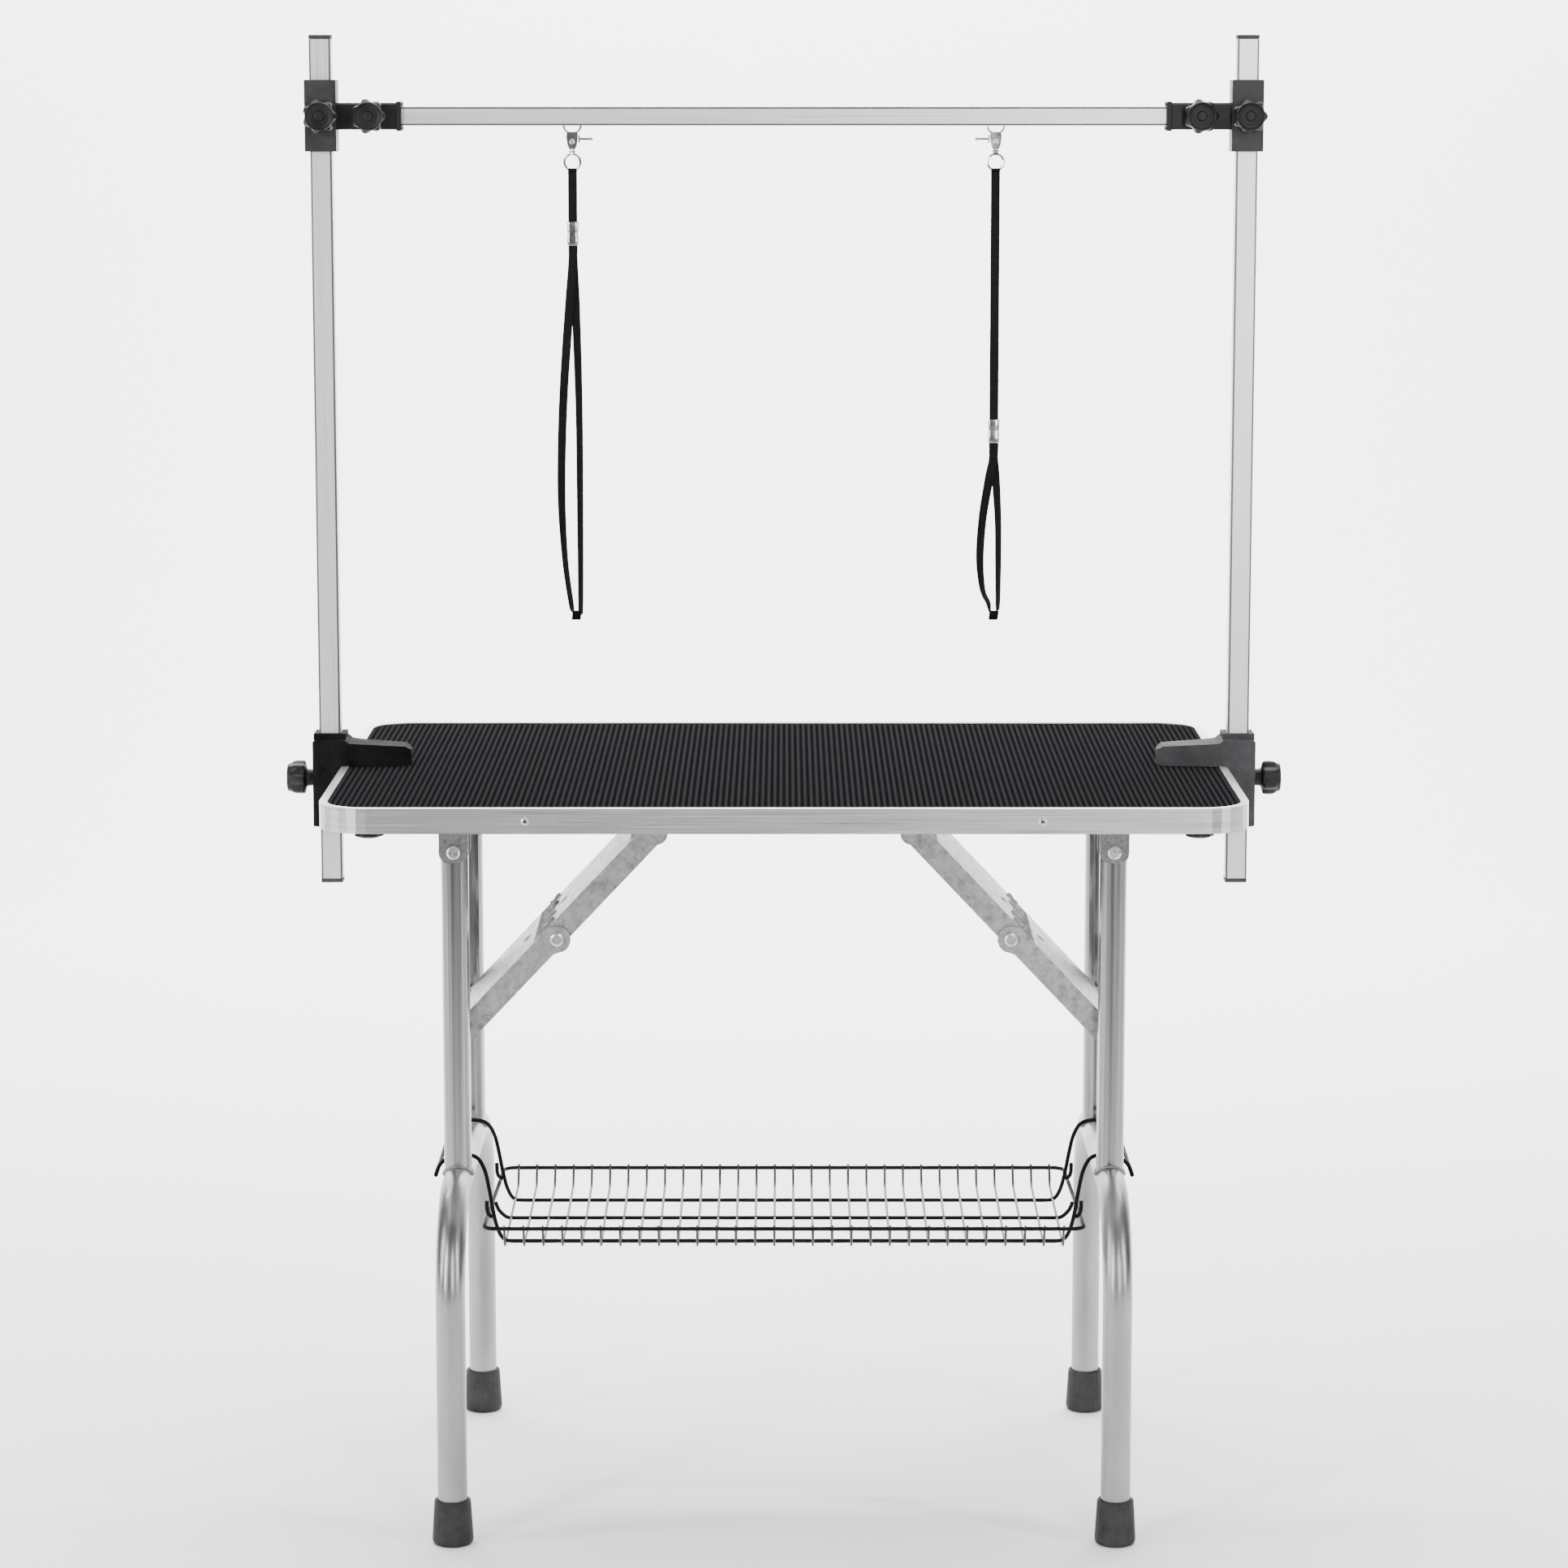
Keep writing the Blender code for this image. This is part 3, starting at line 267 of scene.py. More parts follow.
def galvanised():
    """Zinc-coated sheet: a spangle of soft-edged crystals with a mottled grey bloom."""
    made, tree, shader = surface("galvanised_sheet", (0.45, 0.45, 0.44), 0.42, 0.9)
    spangle = cells(tree, (150.0, 150.0, 150.0))
    grey = tree.nodes.new("ShaderNodeRGBToBW")
    tree.links.new(spangle.outputs["Color"], grey.inputs["Color"])
    bloom = noise(tree, (110.0, 110.0, 110.0), 6.0, 0.66)
    blend = arithmetic(tree, "ADD", arithmetic(tree, "MULTIPLY", grey.outputs["Val"], 0.28), bloom)
    tint(tree, shader, blend, (0.20, 0.20, 0.196), (0.52, 0.52, 0.51), 0.40, 0.92)
    tree.links.new(remap(tree, blend, 0.50, 0.33, 0.4, 0.9), shader.inputs["Roughness"])
    bump(tree, shader, bloom, 0.00012)
    return made


def moulded_plastic(name, dark, light, roughness, grain=1400.0, depth=0.00006, specular=0.22):
    """Moulded plastic with a spark-eroded grain and slightly rubbed, uneven gloss."""
    made, tree, shader = surface(name, light, roughness, specular=specular)
    pits = noise(tree, (grain, grain, grain), 2.0, 0.6)
    wear = noise(tree, (45.0, 45.0, 45.0), 4.0, 0.6)
    tint(tree, shader, wear, dark, light)
    tree.links.new(remap(tree, wear, roughness - 0.08, roughness + 0.08), shader.inputs["Roughness"])
    bump(tree, shader, pits, depth)
    return made


def webbing():
    """Black nylon webbing with painted shade in the hollows of its weave: U runs along the strap in metres
    and V across it.
    """
    made, tree, shader = surface("webbing", (0.012, 0.012, 0.013), 0.78, specular=0.05)
    shader.inputs["Sheen Weight"].default_value = 0.03
    shader.inputs["Sheen Roughness"].default_value = 0.4
    ribs = bands(tree, 0.0016, "X", "UV")
    cords = bands(tree, 0.0011, "Y", "UV")
    height = arithmetic(tree, "MULTIPLY", ribs, cords)
    bump(tree, shader, height, 0.0003)
    # painted shade: the colour darkens in the weave's hollows, following the bump height
    tint(tree, shader, height, (0.005, 0.005, 0.006), (0.024, 0.024, 0.026), 0.1, 0.9)
    return made


def chipboard():
    """Pale laminate on the underside of the board, with a faint grain from the chips behind it."""
    made, tree, shader = surface("board_underside", (0.52, 0.51, 0.49), 0.6)
    chips = noise(tree, (160.0, 60.0, 160.0), 5.0, 0.7)
    tint(tree, shader, chips, (0.47, 0.46, 0.44), (0.56, 0.55, 0.53))
    bump(tree, shader, chips, 0.0001)
    return made


STEEL_DARK, STEEL_LIGHT = (0.17, 0.17, 0.172), (0.40, 0.40, 0.403)
MATERIALS = {
    "mat": ribbed_mat(),
    "trim": brushed_metal(
        "brushed_trim", (0.52, 0.52, 0.53), (0.80, 0.80, 0.81), 0.32, (6.0, 6.0, 900.0), 0.00005
    ),
    "leg": brushed_metal("satin_steel_tube", STEEL_DARK, STEEL_LIGHT, 0.22, (260.0, 260.0, 1.5), 0.00001),
    "bent": brushed_metal(
        "satin_steel_bend", (0.25, 0.25, 0.252), (0.36, 0.36, 0.363), 0.34, (14.0, 14.0, 7.0), 0.00001
    ),
    "zinc": galvanised(),
    "ear": brushed_metal(
        "zinc_plate", (0.13, 0.13, 0.13), (0.26, 0.26, 0.26), 0.42, (260.0, 260.0, 260.0), 0.00006, 0.85
    ),
    "rivet": brushed_metal(
        "rivet_steel", (0.42, 0.42, 0.41), (0.74, 0.74, 0.72), 0.30, (300.0, 300.0, 300.0), 0.00003
    ),
    "post": painted_corner_shade_tube("anodised_post", (0.80, 0.80, 0.81), 0.36, (900.0, 900.0, 5.0), "XY", 0.5),
    "bar": painted_corner_shade_tube("anodised_bar", (0.82, 0.82, 0.83), 0.34, (5.0, 900.0, 900.0), "YZ", 0.5),
    "black": moulded_plastic("black_plastic", (0.006, 0.006, 0.007), (0.013, 0.013, 0.014), 0.42),
    "pebbled": moulded_plastic(
        "pebbled_plastic", (0.005, 0.005, 0.006), (0.012, 0.012, 0.013), 0.50, 900.0, 0.0005, 0.008
    ),
    "grey": moulded_plastic(
        "dark_grey_plastic", (0.044, 0.045, 0.047), (0.062, 0.063, 0.066), 0.48, 1000.0, 0.0002, 0.010
    ),
    "charcoal": moulded_plastic("charcoal_plastic", (0.022, 0.022, 0.023), (0.036, 0.036, 0.038), 0.42),
    "rubber": moulded_plastic(
        "foot_rubber", (0.012, 0.012, 0.012), (0.034, 0.034, 0.034), 0.62, 700.0, 0.0001
    ),
    "wire": moulded_plastic(
        "coated_wire", (0.004, 0.004, 0.004), (0.009, 0.009, 0.009), 0.50, 500.0, 0.00003, 0.06
    ),
    "thin_wire": brushed_metal(
        "zinc_wire", (0.015, 0.015, 0.015), (0.08, 0.08, 0.08), 0.40, (90.0, 90.0, 90.0), 0.00003, 0.3
    ),
    "chrome": brushed_metal(
        "nickel_plate", (0.46, 0.46, 0.46), (0.66, 0.66, 0.66), 0.18, (130.0, 130.0, 130.0), 0.00002
    ),
    "webbing": webbing(),
    "board": chipboard(),
}


# ----------------------------------------------------------- shape helpers


def add_object(name, data, material, body):
    made = bpy.data.objects.new(name, data)
    SCENE.collection.objects.link(made)
    data.materials.append(MATERIALS[material])
    if body:
        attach(made, body)
    return made


def from_bmesh(name, shape, material, body, sharp=35):
    bmesh.ops.recalc_face_normals(shape, faces=shape.faces)
    mesh = bpy.data.meshes.new(name)
    shape.to_mesh(mesh)
    shape.free()
    mesh.shade_smooth()
    mesh.set_sharp_from_angle(angle=math.radians(sharp))
    return add_object(name, mesh, material, body)


def bezel(made, width, segments=3):
    """Rounds the sharp edges of a piece."""
    rounded = made.modifiers.new("Bevel", "BEVEL")
    rounded.width = width
    rounded.segments = segments
    rounded.limit_method = "ANGLE"
    rounded.angle_limit = math.radians(40)
    rounded.harden_normals = True


def wires(name, routes, radius, material, body, closed=False, resolution=4):
    """Round wires along lists of points."""
    curve = bpy.data.curves.new(name, "CURVE")
    curve.dimensions = "3D"
    curve.bevel_depth = radius
    curve.bevel_resolution = resolution
    curve.use_fill_caps = not closed
    for route in routes:
        spline = curve.splines.new("POLY")
        spline.points.add(len(route) - 1)
        spline.use_cyclic_u = closed
        spline.use_smooth = True
        for point, place in zip(spline.points, route):
            point.co = (*place, 1.0)
    return add_object(name, curve, material, body)


def rounded(points, spacing=0.003, closed=False):
    """Points along a Catmull-Rom curve through a route."""
    route = [Vector(p) for p in points]
    if closed:
        padded = [route[-1]] + route + [route[0], route[1]]
    else:
        padded = [route[0] * 2 - route[1]] + route + [route[-1] * 2 - route[-2]]
    dense = []
    for a, b, c, d in zip(padded, padded[1:], padded[2:], padded[3:]):
        steps = max(2, round((c - b).length / spacing))
        for i in range(steps):
            t = i / steps
            square, cube = 2 * a - 5 * b + 4 * c - d, 3 * b - a - 3 * c + d
            dense.append(0.5 * (2 * b + (c - a) * t + square * t * t + cube * t**3))
    return dense if closed else dense + [route[-1]]


def stepped(points, step=0.02):
    """A route with extra points on its long stretches, so that a curve keeps them straight."""
    made = [Vector(points[0])]
    for before, after in zip(points, points[1:]):
        gap = Vector(after) - Vector(before)
        parts = max(1, round(gap.length / step))
        made += [Vector(before) + gap * (i / parts) for i in range(1, parts + 1)]
    return made


def turned_to(place, outward):
    return Matrix.Translation(place) @ Vector(outward).to_track_quat("Z", "Y").to_matrix().to_4x4()


def turned(name, profile, place, outward, material, body, steps=48):
    """A solid of revolution: profile holds (radius, height) from the back of the axis to its front."""
    shape = bmesh.new()
    rings = []
    for radius, height in profile:
        if radius == 0.0:
            rings.append([shape.verts.new((0.0, 0.0, height))] * steps)
            continue
        turns = [math.tau * i / steps for i in range(steps)]
        rings.append([shape.verts.new((radius * math.cos(a), radius * math.sin(a), height)) for a in turns])
    fill_between(shape, rings)
    shape.transform(turned_to(place, outward))
    return from_bmesh(name, shape, material, body)


def fill_between(shape, rings):
    """Faces between neighbouring rings of vertices; a ring of one repeated vertex closes to a point."""
    for low, high in zip(rings, rings[1:]):
        for i in range(len(low)):
            j = (i + 1) % len(low)
            corners = []
            for corner in (low[i], low[j], high[j], high[i]):
                if corner not in corners:
                    corners.append(corner)
            if len(corners) > 2:
                shape.faces.new(corners)


def rounded_frame(name, centre, half_x, half_y, hole_x, hole_y, low, high, material, body, axis="Z"):
    """A rectangular collar with a rectangular hole, standing on a square bar."""
    shape = bmesh.new()
    rings = []
    for half_u, half_v, level in (
        (hole_x, hole_y, low),
        (half_x, half_y, low),
        (half_x, half_y, high),
        (hole_x, hole_y, high),
    ):
        corners = ((half_u, half_v), (-half_u, half_v), (-half_u, -half_v), (half_u, -half_v))
        rings.append([shape.verts.new((u, v, level)) for u, v in corners])
    fill_between(shape, rings + rings[:1])
    if axis == "X":
        shape.transform(Matrix.Rotation(math.radians(90), 4, "Y"))
    shape.transform(Matrix.Translation(centre))
    made = from_bmesh(name, shape, material, body)
    bezel(made, 0.0008)
    return made


def middle(node):
    low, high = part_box(node)
    return (Vector(low) + Vector(high)) / 2


# ------------------------------------------------------------------ nooses


def strap_route(x, slide_height):
    """The strap's line as in the CAD, x, y and z, with a twist in degrees that shows its width."""
    bottom = STRAP_BOTTOM
    above = slide_height + SLIDE_LENGTH / 2 + 0.004
    below = slide_height - SLIDE_LENGTH / 2 - 0.012
    drop = below - bottom
    front, back = NOOSE_Y - STRAP_SPLIT, NOOSE_Y + STRAP_SPLIT
    down = [
        (x, front, EYE_LOW, 0),
        (x, front, (EYE_LOW + above) / 2, 0),
        (x, front, above, 0),
        (x, front, below, 0),
        (x - 0.0045, front, below - drop * 0.15, 0),
        (x - 0.0110, front, below - drop * 0.40, 18),
        (x - 0.0135, front, below - drop * 0.65, 28),
        (x - 0.0105, NOOSE_Y, below - drop * 0.84, 50),
        (x - 0.0045, NOOSE_Y, bottom + 0.012, 58),
    ]
    turn = [
        (x - 0.0025, NOOSE_Y, bottom + 0.0035, 75),
        (x + 0.0010, NOOSE_Y, bottom, 90),
        (x + 0.0045, NOOSE_Y, bottom + 0.0035, 75),
    ]
    up = [
        (x + 0.0055, NOOSE_Y, bottom + 0.012, 58),
        (x + 0.0055, NOOSE_Y, below - drop * 0.65, 45),
        (x + 0.0050, NOOSE_Y + 0.001, below - drop * 0.40, 38),
        (x + 0.0025, back, below - drop * 0.15, 20),
        (x, back, below, 0),
        (x, back, above, 0),
        (x, back, (EYE_LOW + above) / 2, 0),
        (x, back, EYE_LOW, 0),
    ]
    return down + turn + up


def strap(side, sign):
    """Flat webbing with rounded selvedges, laid along its route."""
    route = rounded([Vector(p) for p in strap_route(sign * NOOSE_X, SLIDE_HEIGHTS[side])], 0.0025)
    section = []
    for i in range(12):
        a = math.tau * i / 12
        u = math.copysign(abs(math.cos(a)) ** 0.45, math.cos(a))
        section.append((u * STRAP_WIDTH / 2, math.sin(a) * STRAP_THICKNESS / 2))
    shape = bmesh.new()
    uv = shape.loops.layers.uv.new("UVMap")
    rings, travelled, spot = [], 0.0, {}
    for i, point in enumerate(route):
        ahead, behind = route[min(i + 1, len(route) - 1)].xyz, route[max(i - 1, 0)].xyz
        tangent = (ahead - behind).normalized()
        turn = math.radians(point.w)
        across = Vector((math.cos(turn), math.sin(turn), 0.0))
        across = (across - tangent * across.dot(tangent)).normalized()
        face = tangent.cross(across).normalized()
        travelled += (point.xyz - behind).length if i else 0.0
        ring = []
        for u, v in section:
            vertex = shape.verts.new(point.xyz + across * u + face * v)
            spot[vertex] = (travelled, u)
            ring.append(vertex)
        rings.append(ring)
    fill_between(shape, rings)
    shape.faces.new(rings[0])
    shape.faces.new(rings[-1])
    for piece in shape.faces:
        for loop in piece.loops:
            loop[uv].uv = spot[loop.vert]
    made = from_bmesh(f"{side}_strap", shape, "webbing", f"{side}_noose", 60)
    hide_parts(f"{side}_noose_strap")


def strap_slide(side, sign):
    """A crimped metal tube round the doubled strap, squeezed at its waist."""
    centre = Vector((sign * NOOSE_X, NOOSE_Y, SLIDE_HEIGHTS[side]))
    shape = bmesh.new()
    rings = []
    half = SLIDE_LENGTH / 2
    levels = [(-1.0, 0.93), (-0.93, 1.0), (-0.55, 1.0), (-0.18, 0.95), (0.0, 0.90)]
    levels += [(-h, s) for h, s in reversed(levels[:-1])]
    outside, inside = (0.0059, 0.0040), (0.0050, 0.0031)
    walls = [(h, s, outside) for h, s in levels] + [(h, 1.0, inside) for h in (1.0, -1.0)]
    for height, squeeze, (wide, deep) in walls:
        ring = []
        for i in range(32):
            a = math.tau * i / 32
            u = math.copysign(abs(math.cos(a)) ** 0.5, math.cos(a)) * wide * squeeze
            v = math.copysign(abs(math.sin(a)) ** 0.5, math.sin(a)) * deep * squeeze
            ring.append(shape.verts.new(centre + Vector((u, v, height * half))))
        rings.append(ring)
    fill_between(shape, rings + rings[:1])
    made = from_bmesh(f"{side}_strap_slide", shape, "chrome", f"{side}_slide", 50)
    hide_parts(f"{side}_noose_slide")


def strap_end(side, sign):
    """The strap's cut end, folded back over the bottom of the loop and stitched down as a small block."""
    centre = Vector((sign * NOOSE_X + 0.0012, NOOSE_Y, STRAP_BOTTOM - 0.0008))
    shape = bmesh.new()
    rings = []
    levels = [(-0.0046, 0.86), (-0.0040, 1.0), (-0.0010, 1.0), (0.0022, 1.04), (0.0040, 0.98), (0.0046, 0.84)]
    for height, size in levels:
        ring = []
        for i in range(28):
            a = math.tau * i / 28
            u = math.copysign(abs(math.cos(a)) ** 0.4, math.cos(a)) * 0.0047 * size
            v = math.copysign(abs(math.sin(a)) ** 0.4, math.sin(a)) * 0.0026 * size
            ring.append(shape.verts.new(centre + Vector((u + 0.12 * height, v, height))))
        rings.append(ring)
    fill_between(shape, rings)
    shape.faces.new(rings[0])
    shape.faces.new(rings[-1])
    from_bmesh(f"{side}_strap_end", shape, "webbing", f"{side}_noose", 60)


def strap_fold(side, sign):
    """The strap's short bend over the lowest wire of the swivel eye, where its two halves meet."""
    centre = Vector((sign * NOOSE_X, NOOSE_Y, EYE_LOW + 0.0012))
    outer, inner = STRAP_SPLIT + STRAP_THICKNESS / 2, STRAP_SPLIT - STRAP_THICKNESS / 2
    turns = [math.pi * i / 12 for i in range(13)]
    profile = [(-outer, -0.0022)]
    profile += [(-outer * math.cos(a), outer * math.sin(a)) for a in turns]
    profile += [(outer, -0.0022), (inner, -0.0022)]
    profile += [(inner * math.cos(a), inner * math.sin(a)) for a in turns]
    profile.append((-inner, -0.0022))
    shape = bmesh.new()
    rings = []
    for across in (-STRAP_WIDTH / 2, STRAP_WIDTH / 2):
        rings.append([shape.verts.new(centre + Vector((across, y, z))) for y, z in profile])
    fill_between(shape, rings)
    for ring in rings:
        shape.faces.new(ring)
    from_bmesh(f"{side}_strap_fold", shape, "webbing", f"{side}_noose", 50)


def noose_fittings(side, sign):
    """The hook's rivet, the trigger's tip and the swivel's collar."""
    x = sign * NOOSE_X
    dome = [(0.0, 0.0), (0.0031, 0.0), (0.0031, 0.0004), (0.0024, 0.0012), (0.0012, 0.0016), (0.0, 0.0017)]
    for label, toward in ENDS.items():
        place = (x, NOOSE_Y + toward * 0.0025, HOOK_RIVET_HEIGHT)
        turned(f"{side}_hook_rivet_{label}", dome, place, (0, toward, 0), "chrome", f"{side}_snap", 24)
    tip = [(0.0, -0.0006), (0.0018, 0.0), (0.0022, 0.0010), (0.0019, 0.0021), (0.0, 0.0026)]
    lever_end = (x - sign * TRIGGER_REACH, NOOSE_Y, TRIGGER_HEIGHT)
    turned(f"{side}_trigger_tip", tip, lever_end, (-sign, 0, 0), "chrome", f"{side}_trigger", 20)
    collar = [(0.0, -0.0004), (0.0034, 0.0), (0.0038, 0.0008), (0.0034, 0.0016), (0.0, 0.0018)]
    place = (x, NOOSE_Y, SWIVEL_COLLAR_HEIGHT)
    turned(f"{side}_swivel_collar", collar, place, (0, 0, 1), "chrome", f"{side}_noose", 24)


for side_name, side_sign in SIDES.items():
    strap_slide(side_name, side_sign)
    strap_end(side_name, side_sign)
    strap(side_name, side_sign)
    strap_fold(side_name, side_sign)
    noose_fittings(side_name, side_sign)


# -------------------------------------------------------------------- tray


def tray():
    """Thin cross wires over long wires whose ends rise into hooks over the leg crossbars."""
    lift = CROSS_WIRE_RADIUS + 0.0002
    half = [
        (TRAY_RIM_Y + 0.0018, TRAY_RIM_Z + 0.0030),
        (TRAY_RIM_Y - 0.0030, TRAY_RIM_Z - 0.0020),
        (TRAY_FLOOR_Y + 0.0035, TRAY_FLOOR_Z + 0.0060),
        (TRAY_FLOOR_Y - 0.0010, TRAY_FLOOR_Z + lift),
        (TRAY_FLOOR_Y - 0.0120, TRAY_FLOOR_Z + lift),
    ]
    front = [(-y, z - (FRONT_DIP if z < TRAY_RIM_Z - 0.004 else 0.0)) for y, z in reversed(half)]
    section = half + front
    pitch = 2 * CROSS_WIRE_SPAN / (CROSS_WIRES - 1)
    columns = [-CROSS_WIRE_SPAN + i * pitch for i in range(CROSS_WIRES)]
    routes = [[(x, y, z) for y, z in section] for x in columns]
    thin = wires("tray_cross_wires", routes, CROSS_WIRE_RADIUS, "thin_wire", "tray")
    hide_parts("tray_basket", "left_tray_hook", "right_tray_hook")

    floor = TRAY_FLOOR_Z - 0.0008
    arm = [
        (0.2600, floor),
        (0.2800, floor),
        (0.2870, TRAY_FLOOR_Z + 0.0002),
        (0.2920, 0.2860),
        (0.2965, 0.2965),
        (0.3005, 0.3130),
        (0.3040, 0.3320),
        (0.3085, 0.3510),
        (0.3160, 0.3640),
        (0.3280, 0.3680),
        (0.3420, 0.3665),
        (0.3540, 0.3590),
        (0.3585, 0.3500),
    ]
    rise = arm[-4][1] - TRAY_FLOOR_Z

    def side_route(floor_y, hook_y, sign):
        """One end of a long wire, from the floor out over the crossbar."""
        route = []
        for x, z in arm:
            share = min(1.0, max(0.0, (z - TRAY_FLOOR_Z) / rise))
            route.append((sign * x, floor_y + (hook_y - floor_y) * share, z))
        tip_y = hook_y - math.copysign(0.008, hook_y)
        return route + [(sign * HOOK_END[0], tip_y, HOOK_END[1])]

    rear = side_route(HOOK_REAR_Y, HOOK_REAR_Y, -1)[::-1] + side_route(HOOK_REAR_Y, HOOK_REAR_Y, 1)
    front_wire = side_route(FRONT_WIRE_Y, HOOK_FRONT_Y, 1)[::-1]
    front_wire += side_route(FRONT_WIRE_Y, HOOK_FRONT_Y, -1)
    loop = wires(
        "tray_hook_wire",
        [rounded(stepped(rear) + stepped(front_wire), 0.003, closed=True)],
        LONG_WIRE_RADIUS,
        "wire",
        "tray",
        closed=True,
    )

    end_x = 0.3035
    middle_wire = [(end_x, 0.2975), (0.300, 0.289), (0.292, 0.2815), (0.284, floor), (0.260, floor)]
    middle_route = [(-x, MIDDLE_WIRE_Y, z) for x, z in middle_wire]
    middle_route += [(x, MIDDLE_WIRE_Y, z) for x, z in reversed(middle_wire)]
    long_wires = [rounded(stepped(middle_route), 0.004)]
    for sign in SIDES.values():
        for y in CATCH_YS:
            catch = [(0.3066, 0.3211), (0.3064, 0.3120), (0.3045, 0.3065), (0.3005, 0.3040)]
            long_wires.append(rounded([(sign * x, y, z) for x, z in catch], 0.002))
    wires("tray_middle_wire", long_wires, LONG_WIRE_RADIUS, "wire", "tray")

    corner = 0.012
    rim = []
    for sx, sy, start in ((1, 1, 0), (-1, 1, 90), (-1, -1, 180), (1, -1, 270)):
        for i in range(7):
            a = math.radians(start + 15 * i)
            x = sx * (RIM_HALF_LENGTH[sy] - corner) + corner * math.cos(a)
            y = sy * (TRAY_RIM_Y - corner) + corner * math.sin(a)
            rim.append((x, y, TRAY_RIM_Z))
    wires("tray_rim", [rim], RIM_RADIUS, "wire", "tray", closed=True)


tray()


# ------------------------------------------------------------------- knobs


def star_knob(name, node, body, outward, depth=KNOB_DEPTH):
    """A lobed knob with a dished face, a raised hub and a collar, as deep as its CAD node's head."""
    low, high = (Vector(v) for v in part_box(node))
    out = Vector(outward)
    centre = (low + high) / 2
    axis = max(range(3), key=lambda i: abs(out[i]))
    front = high[axis] if out[axis] > 0 else low[axis]
    face = centre.copy()
    face[axis] = front
    radius = max((high - low)[i] for i in range(3) if i != axis) / 2
    place = face - out * depth
    rings = [
        (0.0, 0.0085, 0.0),
        (0.18, 0.0088, 0.0),
        (0.27, 0.0094, 0.0),
        (0.33, radius * 0.86, 0.075),
        (0.38, radius * 0.92, 0.085),
        (0.60, radius * 0.925, 0.085),
        (0.76, radius * 0.90, 0.080),
        (0.84, radius * 0.86, 0.040),
        (0.88, radius * 0.83, 0.010),
        (0.97, radius * 0.81, 0.0),
        (1.0, radius * 0.78, 0.0),
        (0.985, radius * 0.73, 0.0),
        (0.93, radius * 0.68, 0.0),
        (0.90, radius * 0.56, 0.0),
        (0.905, radius * 0.50, 0.0),
        (0.885, radius * 0.47, 0.0),
        (0.88, radius * 0.30, 0.0),
        (0.955, radius * 0.25, 0.0),
        (0.965, radius * 0.21, 0.0),
        (0.955, radius * 0.05, 0.0),
    ]
    shape = bmesh.new()
    samples = 98
    loops = []
    for share, size, lobe in rings:
        ring = []
        for i in range(samples):
            a = math.tau * i / samples
            wave = math.cos(7 * a)
            swell = wave if wave > 0 else wave * 1.15
            r = size * (1.0 + lobe * swell)
            ring.append(shape.verts.new((r * math.cos(a), r * math.sin(a), share * depth)))
        loops.append(ring)
    fill_between(shape, loops)
    shape.faces.new(loops[0])
    shape.faces.new(loops[-1])
    shape.transform(turned_to(place, out))
    knob = from_bmesh(name, shape, "black", body, 32)
    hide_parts(node)


for side_name, side_sign in SIDES.items():
    for where in ("post", "bar"):
        knob_node = f"{side_name}_{where}_knob"
        star_knob(f"{knob_node}_detailed", knob_node, knob_node, (0, -1, 0))
    knob_node = f"{side_name}_clamp_knob"
    star_knob(f"{knob_node}_detailed", knob_node, knob_node, (side_sign, 0, 0), CLAMP_KNOB_DEPTH)


# ------------------------------------------------- small fixed details


def screw_head(name, place, outward, body, radius=0.0042):
    """A pan head whose cross-shaped hollow is painted shade: two thin black bars laid over the top of the
    head rather than cut into it.
    """
    profile = [
        (0.0, -0.0002),
        (radius, -0.0002),
        (radius, 0.0006),
        (radius * 0.86, 0.0013),
        (radius * 0.55, 0.0018),
        (0.0, 0.0020),
    ]
    turned(name, profile, place, outward, "rivet", body, 32)
    lift = Vector(outward) * 0.0018
    # painted shade: black bars stand in for the shaded hollow of the cross
    for number, turn in enumerate((45, 135)):
        shape = bmesh.new()
        bar = Matrix.Diagonal((radius * 1.15, radius * 0.22, 0.0006, 1.0))
        bmesh.ops.create_cube(shape, size=1.0, matrix=bar)
        spin = Matrix.Rotation(math.radians(turn), 4, "Z")
        shape.transform(turned_to(Vector(place) + lift, outward) @ spin)
        from_bmesh(f"{name}_painted_recess_shade_{number}", shape, "black", body)


def dome_rivet(name, place, outward, body, radius=0.0055, height=0.0022):
    profile = [(0.0, -0.0003), (radius, -0.0003), (radius, height * 0.25)]
    for i in range(1, 7):
        a = math.radians(15 * i)
        profile.append((radius * math.cos(a) if i < 6 else 0.0, height * (0.25 + 0.75 * math.sin(a))))
    turned(name, profile, place, outward, "rivet", body, 32)


def edge_screws():
    trim_low, trim_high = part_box("edge_trim")
    height = (trim_low[2] + trim_high[2]) / 2
    for side, sign in SIDES.items():
        for end, toward in ENDS.items():
            y = trim_low[1] if toward < 0 else trim_high[1]
            screw_head(f"{side}_{end}_trim_screw", (sign * TRIM_SCREW_X, y, height), (0, toward, 0), "table")


def brace_directions(side, sign):
    """A brace's elbow, the direction down along it, and the one straight out of its web."""
    run, fall = BRACE_FOOT[0] - BRACE_TOP[0], BRACE_FOOT[1] - BRACE_TOP[1]
    slope = Vector((sign * run, 0.0, fall)).normalized()
    web_out = Vector((sign * abs(slope.z), 0.0, abs(slope.x)))
    return middle(f"{side}_brace_elbow_pin"), slope, web_out


def brace_rivets():
    """Domed rivets on the webs of the brace links."""
    for side, sign in SIDES.items():
        pin, slope, web_out = brace_directions(side, sign)
        for label, body, along in (
            ("upper", f"{side}_brace_upper", -0.020),
            ("lower_top", f"{side}_brace_lower", 0.036),
            ("lower_foot", f"{side}_brace_lower", 0.128),
        ):
            place = pin + slope * along + web_out * 0.0150
            dome_rivet(f"{side}_brace_web_rivet_{label}", place, web_out, body)


